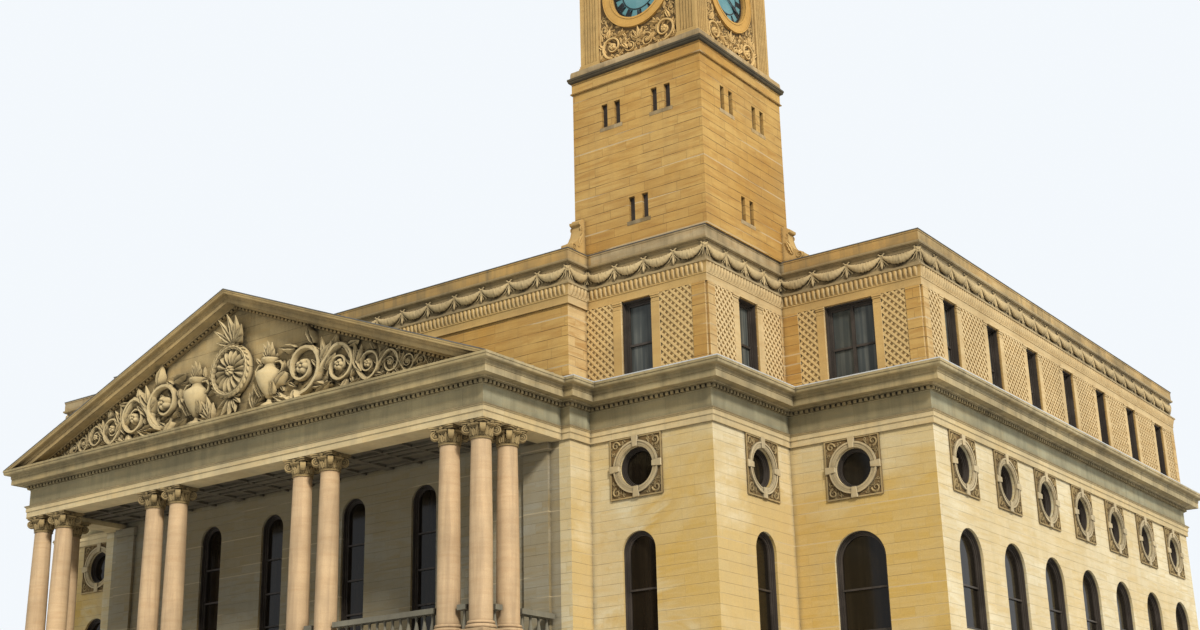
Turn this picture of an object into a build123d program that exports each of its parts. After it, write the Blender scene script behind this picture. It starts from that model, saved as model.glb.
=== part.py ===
# A sandstone courthouse with a temple-front portico and a clock tower, as a 1:2 scale model.
# Every size is in model millimetres, half of the real building's.
# Origin at ground level under the middle of the plan, +Z up, +X to the right of the
# portico front, +Y towards the back.
from build123d import *
import math
import os

# Plan: half widths from the centre line, and how far each front stands before the main front
MAIN_HALF = 11845
BAY_HALF = 8990
CENTRE_HALF = 6395
PORTICO_HALF = 6195
BAY_FORWARD = 2638
CENTRE_FORWARD = 3241
PORTICO_FORWARD = 5389
MAIN_DEPTH = 14000
WALL = 450

# Levels above the ground
ENTRANCE_LEVEL = 225
MAIN_FLOOR_TOP = 4375
FLOOR_THICKNESS = 150
ARCHITRAVE_BOTTOM = 7975
ATTIC_BASE = 8970
ATTIC_WALL_TOP = 10515
PARAPET_TOP = 11570
ROOF_TOP = 10900
PLINTH_TOP = 600
PLINTH_OUT = 60
BELT_OUT = 45

# Main entablature, outward steps from the wall face and heights above its underside
ARCHITRAVE_OUT = 56
LOWER_FASCIA_OUT = 40
LOWER_FASCIA_RISE = 110
ARCHITRAVE_RISE = 205
LEDGE_OUT = 71
FRIEZE_BOTTOM_RISE = 235
FRIEZE_OUT = 12
BED_BOTTOM_RISE = 560
BED_OUT = 105
BED_TOP_RISE = 675
CORONA_OUT = 300
CORONA_RISE = 700
CORONA_TOP_RISE = 825
CORNICE_OUT = 435
CORNICE_LIP = 25

# Attic frieze and parapet, the same way
ATTIC_FASCIA_OUT = 35
ATTIC_FASCIA_RISE = 160
LEAF_BAND_OUT = 62
LEAF_BAND_RISE = 450
GARLAND_OUT = 22
GARLAND_RISE = 765
CROWN_OUT = 91
CROWN_RISE = 795
CROWN_TOP_RISE = 840
PARAPET_OUT = 76

# How far along its clear stretch of wall, from the inner corner, each single window stands
MAIN_FRONT_SHARE = 0.529
MAIN_FRONT_ATTIC_SHARE = 0.587
BAY_FRONT_SHARE = 0.465
BAY_FRONT_ATTIC_SHARE = 0.517
BAY_SIDE_SHARE = 0.393
BAY_SIDE_ATTIC_SHARE = 0.483

# Window bays
SIDE_BAYS = 7
BACK_BAYS = 11
BAY_PITCH = 1950
GROUND_SILL = 1500
GROUND_HEAD = 3300
MAIN_SILL = 4500
MAIN_CROWN = 6290
WIDE_WINDOW = 1000
NARROW_WINDOW = 700
OCULUS_LEVEL = 7425
OCULUS_RADIUS = 355
SURROUND = 1100
SURROUND_OUT = 22
SURROUND_RING = 115
SURROUND_RING_OUT = 45
KEYSTONE = 110
KEYSTONE_OUT = 60
ATTIC_SILL = 9090
ATTIC_HEAD_DROP = 10
ATTIC_SIDE_WINDOW = 590
ATTIC_WIDE_WINDOW = 1000
ATTIC_BAY_WINDOW = 655
GLASS = 16
GLASS_RECESS = 150

# Portico
COLUMN_INSET = 225
PAIR_SPACING = 700
INNER_PAIR_X = 1710
COLUMN_RADIUS = 200
COLUMN_NECK_RADIUS = 172
COLUMN_PLINTH = 520
COLUMN_PLINTH_RISE = 110
COLUMN_BASE_RISE = 260
TORUS_BULGE = 30
UPPER_TORUS_OUT = 10
UPPER_TORUS_BULGE = 25
UPPER_TORUS_RISE = 60
COLUMN_SWELL = 4
COLUMN_SWELL_SHARE = 0.4
CAPITAL_HEIGHT = 325
ABACUS = 500
ABACUS_RISE = 60
VOLUTE_RADIUS = 78
VOLUTE_DROP = 92
VOLUTE_REACH = 210
VOLUTE_WIDTH = 90
NECK_BEAD_RISE = 60
NECK_BEAD_OUT = 25
BELL_SWELL = 16
BELL_LIP_INSET = 20
BEAM = 450
STYLOBATE_OUT = 200
CEILING_TOP_RISE = 150
CEILING_THICKNESS = 60
COFFER_BEAM = 160
PORTICO_WINDOW = 620
PORTICO_WINDOW_SILL = 4700
PORTICO_WINDOW_CROWN = 7670
PORTICO_WINDOW_INNER_X = 1130
PORTICO_WINDOW_OUTER_X = 2950
ANTA_WIDTH = 560
ANTA_OUT = 70
ANTA_CAP_OUT = 30
PEDIMENT_APEX = 11550
RAKING_DEPTH = 330
RAKING_CORONA_DEPTH = 248
RAKING_LIP_DEPTH = 149
TYMPANUM = 220
PORTICO_ROOF = 120
RAIL_TOP = 4925
RAIL_RISE = 90
RAIL_WIDTH = 190
RAIL_FOOT = 80
BALUSTER_RADIUS = 48
BALUSTER_END_RADIUS = 34
BALUSTER_THROAT_RADIUS = 22
BALUSTER_PITCH = 165

# Portico base with the entrance
ENTRANCE_WIDTH = 1300
ENTRANCE_CROWN = 3300
ENTRANCE_PITCH = 3350
DOOR = 60
DOOR_HEAD = 2350
BASE_WALL = 450
STEP_RUN = 115
STEP_COUNT = 2
STEP_WIDTH = 9600

# Tower
SHAFT_WIDTH = 2910
SHAFT_INSET = 1335
SHAFT_CENTRE_FORWARD = 1250
SHAFT_TOP = 14950
SLIT_WIDTH = 135
SLIT_HEIGHT = 480
SLIT_GAP_HALF = 147
SLIT_PAIR_OFFSET = 567
UPPER_SLIT_LEVEL = 14300
LOWER_SLIT_LEVEL = 12250
STAGE_BASE = 15430
SHAFT_CORNICE_OUT = 80
SHAFT_CORNICE_LEVEL = 15276
SHAFT_BAND_OUT = 14
SHAFT_BLOCK_OUT = 30
STAGE_SETBACK = 120
STAGE_PANEL_SETBACK = 70
STAGE_WALL = 250
STAGE_PIER = 430
STAGE_TOP = 18200
STAGE_ENTABLATURE = 700
STAGE_CORNICE_OUT = 210
STAGE_ARCHITRAVE_OUT = 20
STAGE_ARCHITRAVE_RISE = 175
STAGE_FRIEZE_OUT = 5
STAGE_FRIEZE_RISE = 420
STAGE_BED_OUT = 84
STAGE_BED_RISE = 490
STAGE_CORONA_RISE = 546
DIAL_LEVEL = 16850
DIAL_RADIUS = 590
DIAL = 30
DIAL_RECESS = 60
RING_WIDTH = 200
RING_OUT = 60
HAND_LENGTH = 470
HAND_WIDTH = 46
HAND = 14
HAND_BOSS_RADIUS = 50
TOWER_ROOF_RISE = 1750
TOWER_ROOF_SHELL = 120
TOWER_ROOF_EAVE = 120
FINIAL_RADIUS = 130
FINIAL_NECK_RADIUS = 90
FINIAL_NECK = 130
FINIAL_BALL_LEVEL = 234
BRACKET_HEIGHT = 740
BRACKET_REACH = 520
BRACKET_WIDTH = 230
BRACKET_ROLL_RADIUS = 133
BRACKET_NECK = 83
BRACKET_TOE = 148
BRACKET_WAIST_REACH = 177
BRACKET_WAIST_RISE = 266
INNER_PIER = 600

# Places worked out from the driving sizes
Y_MIDDLE = (MAIN_DEPTH - PORTICO_FORWARD) / 2
Y_MAIN = -Y_MIDDLE
Y_BACK = Y_MAIN + MAIN_DEPTH
Y_BAY = Y_MAIN - BAY_FORWARD
Y_CENTRE = Y_MAIN - CENTRE_FORWARD
Y_PORTICO = Y_MAIN - PORTICO_FORWARD
MAIN_FLOOR_BOTTOM = MAIN_FLOOR_TOP - FLOOR_THICKNESS
BASE_FACE_Y = Y_PORTICO - STYLOBATE_OUT
SHAFT_HALF = SHAFT_WIDTH / 2
SHAFT_CENTRE_X = BAY_HALF - SHAFT_INSET
SHAFT_Y = Y_MAIN - SHAFT_CENTRE_FORWARD
STAGE_HALF = SHAFT_HALF - STAGE_SETBACK
PANEL_HALF = STAGE_HALF - STAGE_PANEL_SETBACK


def block(x0, x1, y0, y1, z0, z1):
    """An upright box between two corners."""
    size = Box(abs(x1 - x0), abs(y1 - y0), abs(z1 - z0))
    return Pos((x0 + x1) / 2, (y0 + y1) / 2, (z0 + z1) / 2) * size


def mirrored(shapes):
    """The shapes together with their mirror images across the centre line."""
    return shapes + [mirror(shape, about=Plane.YZ) for shape in shapes]


def save(name, shapes):
    """Write one sub-part as a compound of its solids."""
    solids = [solid for shape in shapes for solid in shape.solids()]
    export_step(Compound(children=solids), f"parts/{name}.step")


# Wall openings, each drawn in the wall's own plane: along the wall, then up
def rectangle_hole(along, sill, head, width):
    return Pos(along, (sill + head) / 2) * Rectangle(width, head - sill)


def arch_hole(along, sill, crown, width):
    spring = crown - width / 2
    outline = Polyline((along - width / 2, spring), (along - width / 2, sill),
                       (along + width / 2, sill), (along + width / 2, spring))
    top = ThreePointArc((along + width / 2, spring), (along, crown), (along - width / 2, spring))
    return make_face(outline + top)


def round_hole(along, level, radius):
    return Pos(along, level) * Circle(radius)


def wall_plane(start, end):
    """The outer face of a wall walked clockwise: x along it, y up, z into the wall."""
    along = (Vector(*end) - Vector(*start)).normalized()
    return Plane(origin=Vector(*start), x_dir=along, z_dir=along.cross(Vector(0, 0, 1)))


def wall(start, end, bottom, top, holes, thickness=WALL):
    """A straight wall with its openings."""
    length = (Vector(*end) - Vector(*start)).length
    face = Pos(length / 2, (bottom + top) / 2) * Rectangle(length, top - bottom)
    for hole in holes:
        face -= hole
    return extrude(wall_plane(start, end) * face, thickness)


def panes(start, end, holes, recess=GLASS_RECESS):
    """One sheet of glass in each opening, set back from the wall face."""
    plane = wall_plane(start, end).offset(recess)
    return [extrude(plane * hole, GLASS) for hole in holes]


def mitre_plane(corner, before, after):
    """The upright plane that halves a corner between two runs."""
    return Plane(origin=Vector(*corner), z_dir=(before + after).normalized())


def mitred_run(profile, start, end, before=None, after=None):
    """A moulding with the profile (out, up), between two corners walked clockwise."""
    along = (Vector(*end) - Vector(*start)).normalized()
    outward = Vector(0, 0, 1).cross(along)
    reach = max(abs(out) for out, up in profile) * 1.5
    length = (Vector(*end) - Vector(*start)).length
    extra_start = reach if before else 0
    extra_end = reach if after else 0
    origin = Vector(*start) - along * extra_start
    section = make_face(Plane(origin=origin, x_dir=outward, z_dir=along)
                        * Polyline(*profile, close=True))
    run = extrude(section, amount=length + extra_start + extra_end, dir=along)
    if before:
        run = split(run, bisect_by=mitre_plane(start, before, along), keep=Keep.TOP)
    if after:
        run = split(run, bisect_by=mitre_plane(end, along, after), keep=Keep.BOTTOM)
    return run


def ring(profile, corners):
    """A closed moulding, one mitred run for each side of the outline."""
    points = [Vector(x, y) for x, y in corners]
    count = len(points)
    runs = []
    for i in range(count):
        here = points[i]
        following = points[(i + 1) % count]
        before = (here - points[i - 1]).normalized()
        after = (points[(i + 2) % count] - following).normalized()
        runs.append(mitred_run(profile, here, following, before, after))
    return runs


def by_direction(runs, corners, back_index=0):
    """Sort a ring's runs into the back, those facing a side and those facing the front."""
    sides = []
    fronts = []
    for i, run in enumerate(runs):
        if i == back_index:
            continue
        x0, y0 = corners[i]
        x1, y1 = corners[(i + 1) % len(corners)]
        if x0 == x1:
            sides.append(run)
        else:
            fronts.append(run)
    return runs[back_index], sides, fronts


def centred_bays(length, count):
    """Where the bays of a wall stand along it."""
    return [length / 2 + (i - (count - 1) / 2) * BAY_PITCH for i in range(count)]


def band_profile(bottom, top, out):
    return [(0, bottom), (out, bottom), (out, top), (0, top)]


PLINTH_PROFILE = band_profile(0, PLINTH_TOP, PLINTH_OUT)
BELT_PROFILE = band_profile(MAIN_FLOOR_BOTTOM, MAIN_FLOOR_TOP, BELT_OUT)
SOUTH = Vector(0, -1)
WEST = Vector(-1, 0)
EAST = Vector(1, 0)


class Side:
    """One straight stretch of the outer walls: its plan corners, body and window bays."""

    def __init__(self, corners, body, turns, alongs, width, attic_alongs, attic_width):
        self.corners = corners
        self.body = body
        self.turns = turns
        self.alongs = alongs
        self.width = width
        self.attic_alongs = attic_alongs
        self.attic_width = attic_width

    def ground_holes(self):
        return [rectangle_hole(a, GROUND_SILL, GROUND_HEAD, self.width) for a in self.alongs]

    def main_holes(self):
        return [arch_hole(a, MAIN_SILL, MAIN_CROWN, self.width) for a in self.alongs]

    def oculus_holes(self):
        return [round_hole(a, OCULUS_LEVEL, OCULUS_RADIUS) for a in self.alongs]

    def attic_holes(self):
        return [rectangle_hole(a, ATTIC_SILL, ATTIC_WALL_TOP - ATTIC_HEAD_DROP, self.attic_width)
                for a in self.attic_alongs]

    def banded(self, body, profiles):
        """The wall with mitred bands on its face."""
        for profile in profiles:
            body += mitred_run(profile, *self.corners, *self.turns)
        return body

    def lower_wall(self):
        holes = self.ground_holes() + self.main_holes() + self.oculus_holes()
        body = wall(*self.body, 0, ARCHITRAVE_BOTTOM, holes)
        return self.banded(body, [PLINTH_PROFILE, BELT_PROFILE])

    def attic_wall(self):
        return wall(*self.body, ATTIC_BASE, ATTIC_WALL_TOP, self.attic_holes())

    def surrounds(self):
        """The square carved plate, raised ring and keystones round each oculus."""
        plane = wall_plane(*self.body)
        plates = []
        for along in self.alongs:
            opening = round_hole(along, OCULUS_LEVEL, OCULUS_RADIUS)
            square = Pos(along, OCULUS_LEVEL) * Rectangle(SURROUND, SURROUND) - opening
            rim = Pos(along, OCULUS_LEVEL) * Circle(OCULUS_RADIUS + SURROUND_RING) - opening
            plate = extrude(plane * square, -SURROUND_OUT)
            plate += extrude(plane * rim, -SURROUND_RING_OUT)
            for x, y in ((1, 0), (-1, 0), (0, 1), (0, -1)):
                reach = (SURROUND / 2 + OCULUS_RADIUS) / 2
                size = SURROUND / 2 - OCULUS_RADIUS
                tall = size if y else KEYSTONE
                wide = size if x else KEYSTONE
                key = Pos(along + x * reach, OCULUS_LEVEL + y * reach) * Rectangle(wide, tall)
                plate += extrude(plane * (key - opening), -KEYSTONE_OUT)
            plates.append(plate)
        return plates


def right_half_sides():
    """The stretches of wall right of the centre line, walked clockwise from the back."""
    side_alongs = centred_bays(MAIN_DEPTH, SIDE_BAYS)
    main_side = Side([(MAIN_HALF, Y_BACK), (MAIN_HALF, Y_MAIN)],
                     [(MAIN_HALF, Y_BACK), (MAIN_HALF, Y_MAIN)], (EAST, WEST),
                     side_alongs, WIDE_WINDOW, side_alongs, ATTIC_SIDE_WINDOW)
    front_start = MAIN_HALF - WALL
    main_clear = front_start - BAY_HALF
    main_front = Side([(MAIN_HALF, Y_MAIN), (BAY_HALF, Y_MAIN)],
                      [(front_start, Y_MAIN), (BAY_HALF, Y_MAIN)], (SOUTH, SOUTH),
                      [main_clear * (1 - MAIN_FRONT_SHARE)], WIDE_WINDOW,
                      [main_clear * (1 - MAIN_FRONT_ATTIC_SHARE)], ATTIC_WIDE_WINDOW)
    bay_back = Y_MAIN + WALL
    bay_side = Side([(BAY_HALF, Y_MAIN), (BAY_HALF, Y_BAY)],
                    [(BAY_HALF, bay_back), (BAY_HALF, Y_BAY)], (WEST, WEST),
                    [WALL + BAY_FORWARD * BAY_SIDE_SHARE], NARROW_WINDOW,
                    [WALL + BAY_FORWARD * BAY_SIDE_ATTIC_SHARE], ATTIC_BAY_WINDOW)
    bay_start = BAY_HALF - WALL
    bay_clear = bay_start - CENTRE_HALF
    bay_front = Side([(BAY_HALF, Y_BAY), (CENTRE_HALF, Y_BAY)],
                     [(bay_start, Y_BAY), (CENTRE_HALF, Y_BAY)], (SOUTH, SOUTH),
                     [bay_clear * (1 - BAY_FRONT_SHARE)], NARROW_WINDOW,
                     [bay_clear * (1 - BAY_FRONT_ATTIC_SHARE)], ATTIC_BAY_WINDOW)
    centre_return = Side([(CENTRE_HALF, Y_BAY), (CENTRE_HALF, Y_CENTRE)],
                         [(CENTRE_HALF, Y_BAY + WALL), (CENTRE_HALF, Y_CENTRE)], (WEST, None),
                         [], NARROW_WINDOW, [], ATTIC_BAY_WINDOW)
    return main_side, main_front, bay_side, bay_front, centre_return


def back_side():
    body = [(WALL - MAIN_HALF, Y_BACK), (MAIN_HALF - WALL, Y_BACK)]
    corners = [(-MAIN_HALF, Y_BACK), (MAIN_HALF, Y_BACK)]
    alongs = centred_bays(2 * (MAIN_HALF - WALL), BACK_BAYS)
    return Side(corners, body, (Vector(0, 1), SOUTH),
                alongs, WIDE_WINDOW, alongs, ATTIC_SIDE_WINDOW)


def plan_outline(inset=0):
    """The stepped plan without the portico, clockwise from the back left corner."""
    right = [(MAIN_HALF - inset, Y_BACK - inset), (MAIN_HALF - inset, Y_MAIN + inset),
             (BAY_HALF - inset, Y_MAIN + inset), (BAY_HALF - inset, Y_BAY + inset),
             (CENTRE_HALF - inset, Y_BAY + inset), (CENTRE_HALF - inset, Y_CENTRE + inset)]
    left = [(-x, y) for x, y in reversed(right)]
    return left[-1:] + right + left[:-1]


def entablature_outline():
    """The same plan with the portico standing out from the centre."""
    outline = plan_outline()
    right = [(PORTICO_HALF, Y_CENTRE), (PORTICO_HALF, Y_PORTICO)]
    left = [(-x, y) for x, y in reversed(right)]
    half = outline.index((CENTRE_HALF, Y_CENTRE)) + 1
    return outline[:half] + right + left + outline[half:]


def plate(bottom, top, inset=WALL):
    """A floor or roof that fills the plan inside the walls."""
    corners = [Vector(x, y, bottom) for x, y in plan_outline(inset)]
    return extrude(make_face(Polyline(*corners, close=True)), amount=top - bottom, dir=(0, 0, 1))


def entablature_profile():
    base = ARCHITRAVE_BOTTOM
    return [(-WALL, base), (LOWER_FASCIA_OUT, base), (LOWER_FASCIA_OUT, base + LOWER_FASCIA_RISE),
            (ARCHITRAVE_OUT, base + LOWER_FASCIA_RISE), (ARCHITRAVE_OUT, base + ARCHITRAVE_RISE),
            (LEDGE_OUT, base + ARCHITRAVE_RISE), (LEDGE_OUT, base + FRIEZE_BOTTOM_RISE),
            (FRIEZE_OUT, base + FRIEZE_BOTTOM_RISE), (FRIEZE_OUT, base + BED_BOTTOM_RISE),
            (BED_OUT, base + BED_TOP_RISE), (CORONA_OUT, base + CORONA_RISE),
            (CORONA_OUT, base + CORONA_TOP_RISE), (CORNICE_OUT, ATTIC_BASE - CORNICE_LIP),
            (CORNICE_OUT, ATTIC_BASE), (-WALL, ATTIC_BASE)]


def attic_frieze_profile():
    base = ATTIC_WALL_TOP
    return [(-WALL, base), (ATTIC_FASCIA_OUT, base), (ATTIC_FASCIA_OUT, base + ATTIC_FASCIA_RISE),
            (LEAF_BAND_OUT, base + ATTIC_FASCIA_RISE),
            (LEAF_BAND_OUT, base + LEAF_BAND_RISE),
            (GARLAND_OUT, base + LEAF_BAND_RISE), (GARLAND_OUT, base + GARLAND_RISE),
            (CROWN_OUT, base + CROWN_RISE), (CROWN_OUT, base + CROWN_TOP_RISE),
            (PARAPET_OUT, base + CROWN_TOP_RISE), (PARAPET_OUT, PARAPET_TOP),
            (-WALL, PARAPET_TOP)]


# Main building
def make_walls():
    sides = right_half_sides()
    main_side, main_front, bay_side, bay_front, centre_return = sides
    back = back_side()
    save("side_walls", mirrored([s.lower_wall() for s in (main_side, bay_side, centre_return)]))
    save("back_wall", [back.lower_wall()])
    save("front_walls", mirrored([s.lower_wall() for s in (main_front, bay_front)])
         + [centre_front_wall()])
    save("side_attic_walls", mirrored([s.attic_wall() for s in (main_side, bay_side, centre_return)]))
    save("back_attic_wall", [back.attic_wall()])
    centre_attic = wall((CENTRE_HALF - WALL, Y_CENTRE), (WALL - CENTRE_HALF, Y_CENTRE),
                        ATTIC_BASE, ATTIC_WALL_TOP, [])
    save("front_attic_walls", mirrored([s.attic_wall() for s in (main_front, bay_front)])
         + [centre_attic])
    surrounds = mirrored([p for s in sides for p in s.surrounds()])
    save("oculus_surrounds", surrounds + back.surrounds())
    make_glass(sides, back)


def make_glass(sides, back):
    """The panes of each storey, one in each opening."""
    ground = []
    main = []
    attic = []
    for side in sides:
        ground += panes(*side.body, side.ground_holes())
        main += panes(*side.body, side.main_holes() + side.oculus_holes())
        attic += panes(*side.body, side.attic_holes())
    ground = mirrored(ground) + panes(*back.body, back.ground_holes()) + fanlights()
    main = mirrored(main) + panes(*back.body, back.main_holes() + back.oculus_holes())
    attic = mirrored(attic) + panes(*back.body, back.attic_holes())
    save("ground_storey_glass", ground)
    save("main_storey_glass", main + panes(*centre_wall_line(), portico_window_holes()))
    save("attic_storey_glass", attic)


def make_entablatures():
    outline = entablature_outline()
    runs = ring(entablature_profile(), outline)
    back, sides, fronts = by_direction(runs, outline)
    portico_front = max(fronts, key=lambda run: -run.center().Y)
    portico_sides = sorted(sides, key=lambda run: run.center().Y)[:2]
    save("back_entablature", [back])
    save("side_entablatures", [run for run in sides if run not in portico_sides])
    save("front_entablatures", [run for run in fronts if run is not portico_front])
    save("portico_front_entablature", [portico_front])
    save("portico_side_entablatures", portico_sides)
    outline = plan_outline()
    back, sides, fronts = by_direction(ring(attic_frieze_profile(), outline), outline)
    save("back_attic_frieze", [back])
    save("side_attic_friezes", sides)
    save("front_attic_friezes", fronts)


def make_floors():
    hall = plate(ENTRANCE_LEVEL - FLOOR_THICKNESS, ENTRANCE_LEVEL)
    vestibule = block(BASE_WALL - CENTRE_HALF, CENTRE_HALF - BASE_WALL,
                      BASE_FACE_Y + BASE_WALL, Y_CENTRE,
                      ENTRANCE_LEVEL - FLOOR_THICKNESS, ENTRANCE_LEVEL)
    hall += vestibule
    for x in entrance_places():
        hall += block(x - ENTRANCE_WIDTH / 2, x + ENTRANCE_WIDTH / 2, Y_CENTRE, Y_CENTRE + WALL,
                      ENTRANCE_LEVEL - FLOOR_THICKNESS, ENTRANCE_LEVEL)
    save("ground_floor", [hall])
    save("main_floor", [plate(MAIN_FLOOR_BOTTOM, MAIN_FLOOR_TOP)])
    save("attic_floor", [plate(ATTIC_BASE - FLOOR_THICKNESS, ATTIC_BASE)])
    save("main_roof", [plate(ROOF_TOP - FLOOR_THICKNESS, ROOF_TOP)])


# Portico
def centre_wall_line():
    return (CENTRE_HALF - WALL, Y_CENTRE), (WALL - CENTRE_HALF, Y_CENTRE)


def portico_window_holes():
    places = [s * x for s in (1, -1) for x in (PORTICO_WINDOW_INNER_X, PORTICO_WINDOW_OUTER_X)]
    return [arch_hole(CENTRE_HALF - WALL - x, PORTICO_WINDOW_SILL, PORTICO_WINDOW_CROWN,
                      PORTICO_WINDOW) for x in places]


def centre_front_wall():
    """The wall behind the columns, raised between the portico's beams to the attic."""
    body = wall(*centre_wall_line(), MAIN_FLOOR_BOTTOM, ARCHITRAVE_BOTTOM, portico_window_holes())
    raised = PORTICO_HALF - max(WALL, BEAM)
    body += block(-raised, raised, Y_CENTRE, Y_CENTRE + WALL, ARCHITRAVE_BOTTOM, ATTIC_BASE)
    return body


def entrance_places():
    return [-ENTRANCE_PITCH, 0, ENTRANCE_PITCH]


def entrance_line():
    return (CENTRE_HALF - BASE_WALL, BASE_FACE_Y), (BASE_WALL - CENTRE_HALF, BASE_FACE_Y)


def entrance_along(x):
    return CENTRE_HALF - BASE_WALL - x


def fanlights():
    """The glass over each pair of entrance doors."""
    holes = [arch_hole(entrance_along(x), DOOR_HEAD, ENTRANCE_CROWN, ENTRANCE_WIDTH)
             for x in entrance_places()]
    return panes(*entrance_line(), holes)


def make_portico_base():
    """The high base with three arched entrances, and what stands in and before it."""
    holes = [arch_hole(entrance_along(x), ENTRANCE_LEVEL, ENTRANCE_CROWN, ENTRANCE_WIDTH)
             for x in entrance_places()]
    front = wall(*entrance_line(), 0, MAIN_FLOOR_BOTTOM, holes, BASE_WALL)
    front_plinth = mitred_run(PLINTH_PROFILE, (CENTRE_HALF, BASE_FACE_Y),
                              (-CENTRE_HALF, BASE_FACE_Y), SOUTH, Vector(0, 1))
    for x in entrance_places():
        front_plinth -= block(x - ENTRANCE_WIDTH / 2, x + ENTRANCE_WIDTH / 2,
                              BASE_FACE_Y - PLINTH_OUT, BASE_FACE_Y, ENTRANCE_LEVEL, PLINTH_TOP)
    front_plinth -= entrance_stair()
    right = ((CENTRE_HALF, Y_CENTRE), (CENTRE_HALF, BASE_FACE_Y))
    side = wall(*right, 0, MAIN_FLOOR_BOTTOM, [], BASE_WALL)
    side += mitred_run(PLINTH_PROFILE, *right, None, WEST)
    save("portico_base_front", [front + front_plinth])
    save("portico_base_sides", mirrored([side]))
    save("vestibule_piers", vestibule_piers())
    save("entrance_doors", entrance_doors())
    save("entrance_steps", [entrance_stair()])
    out_x = CENTRE_HALF + BELT_OUT
    save("portico_floor", [block(-out_x, out_x, BASE_FACE_Y - BELT_OUT, Y_CENTRE,
                                 MAIN_FLOOR_BOTTOM, MAIN_FLOOR_TOP)])


def vestibule_piers():
    """The lower part of the centre wall, open behind each entrance."""
    edges = [WALL - CENTRE_HALF]
    for x in entrance_places():
        edges += [x - ENTRANCE_WIDTH / 2, x + ENTRANCE_WIDTH / 2]
    edges.append(CENTRE_HALF - WALL)
    return [block(x0, x1, Y_CENTRE, Y_CENTRE + WALL, 0, MAIN_FLOOR_BOTTOM)
            for x0, x1 in zip(edges[0::2], edges[1::2])]


def entrance_doors():
    """A pair of leaves, closed, in each entrance."""
    plane = wall_plane(*entrance_line()).offset(GLASS_RECESS)
    leaves = [rectangle_hole(entrance_along(x), ENTRANCE_LEVEL, DOOR_HEAD, ENTRANCE_WIDTH)
              for x in entrance_places()]
    return [extrude(plane * leaf, DOOR) for leaf in leaves]


def entrance_stair():
    riser = ENTRANCE_LEVEL / (STEP_COUNT + 1)
    half = STEP_WIDTH / 2
    stair = block(-half, half, BASE_FACE_Y, BASE_FACE_Y - STEP_COUNT * STEP_RUN, 0, riser)
    for i in range(1, STEP_COUNT):
        stair += block(-half, half, BASE_FACE_Y, BASE_FACE_Y - (STEP_COUNT - i) * STEP_RUN,
                       i * riser, (i + 1) * riser)
    return stair


def column_places():
    """Axes of the right half's columns: two front pairs and the side column."""
    corner = PORTICO_HALF - COLUMN_INSET
    line = Y_PORTICO + COLUMN_INSET
    front = [corner, corner - PAIR_SPACING, INNER_PAIR_X + PAIR_SPACING, INNER_PAIR_X]
    return [(x, line) for x in front] + [(corner, line + PAIR_SPACING)]


def column_base():
    """A square plinth under two rolls of stone and the foot of the shaft."""
    foot = MAIN_FLOOR_TOP
    plinth_top = foot + COLUMN_PLINTH_RISE
    half = COLUMN_PLINTH / 2
    base_top = foot + COLUMN_BASE_RISE
    middle = (plinth_top + base_top) / 2
    roll_top = middle + UPPER_TORUS_RISE
    lower_out = half - TORUS_BULGE
    upper_out = COLUMN_RADIUS + UPPER_TORUS_OUT
    lower = ThreePointArc((lower_out, plinth_top), (half, (plinth_top + middle) / 2),
                          (lower_out, middle))
    upper = ThreePointArc((upper_out, middle),
                          (upper_out + UPPER_TORUS_BULGE, (middle + roll_top) / 2),
                          (upper_out, roll_top))
    outline = Polyline((0, roll_top), (0, plinth_top), (lower_out, plinth_top))
    steps = Line((lower_out, middle), (upper_out, middle))
    top = Line((upper_out, roll_top), (0, roll_top))
    section = make_face(outline + lower + steps + upper + top)
    body = revolve(Plane.XZ * section, Axis.Z)
    body += block(-half, half, -half, half, foot, plinth_top)
    body += Pos(0, 0, (roll_top + base_top) / 2) * Cylinder(COLUMN_RADIUS, base_top - roll_top)
    return body


def column_shaft():
    """A smooth shaft that swells a little on its way up."""
    foot = MAIN_FLOOR_TOP + COLUMN_BASE_RISE
    neck = ARCHITRAVE_BOTTOM - CAPITAL_HEIGHT
    third = foot + (neck - foot) * COLUMN_SWELL_SHARE
    outline = Polyline((0, neck), (0, foot), (COLUMN_RADIUS, foot))
    swell = ThreePointArc((COLUMN_RADIUS, foot), (COLUMN_RADIUS - COLUMN_SWELL, third),
                          (COLUMN_NECK_RADIUS, neck))
    section = make_face(outline + swell + Line((COLUMN_NECK_RADIUS, neck), (0, neck)))
    return revolve(Plane.XZ * section, Axis.Z)


def column_capital():
    """A bell, four corner scrolls and a square abacus."""
    neck = ARCHITRAVE_BOTTOM - CAPITAL_HEIGHT
    bead_top = neck + NECK_BEAD_RISE
    abacus_bottom = ARCHITRAVE_BOTTOM - ABACUS_RISE
    lip = ABACUS / 2 - BELL_LIP_INSET
    outline = Polyline((0, abacus_bottom), (0, neck), (COLUMN_NECK_RADIUS, neck),
                       (COLUMN_NECK_RADIUS + NECK_BEAD_OUT, (neck + bead_top) / 2),
                       (COLUMN_NECK_RADIUS, bead_top))
    bell = ThreePointArc((COLUMN_NECK_RADIUS, bead_top),
                         (COLUMN_NECK_RADIUS + BELL_SWELL, (bead_top + abacus_bottom) / 2),
                         (lip, abacus_bottom))
    section = make_face(outline + bell + Line((lip, abacus_bottom), (0, abacus_bottom)))
    body = revolve(Plane.XZ * section, Axis.Z)
    half = ABACUS / 2
    body += block(-half, half, -half, half, abacus_bottom, ARCHITRAVE_BOTTOM)
    centre = ARCHITRAVE_BOTTOM - VOLUTE_DROP - VOLUTE_RADIUS / 2
    for angle in (45, 135, 225, 315):
        scroll = Pos(VOLUTE_REACH, 0, centre) * Rot(90, 0, 0) * Cylinder(VOLUTE_RADIUS, VOLUTE_WIDTH)
        body += Rot(0, 0, angle) * scroll
    return body


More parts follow.
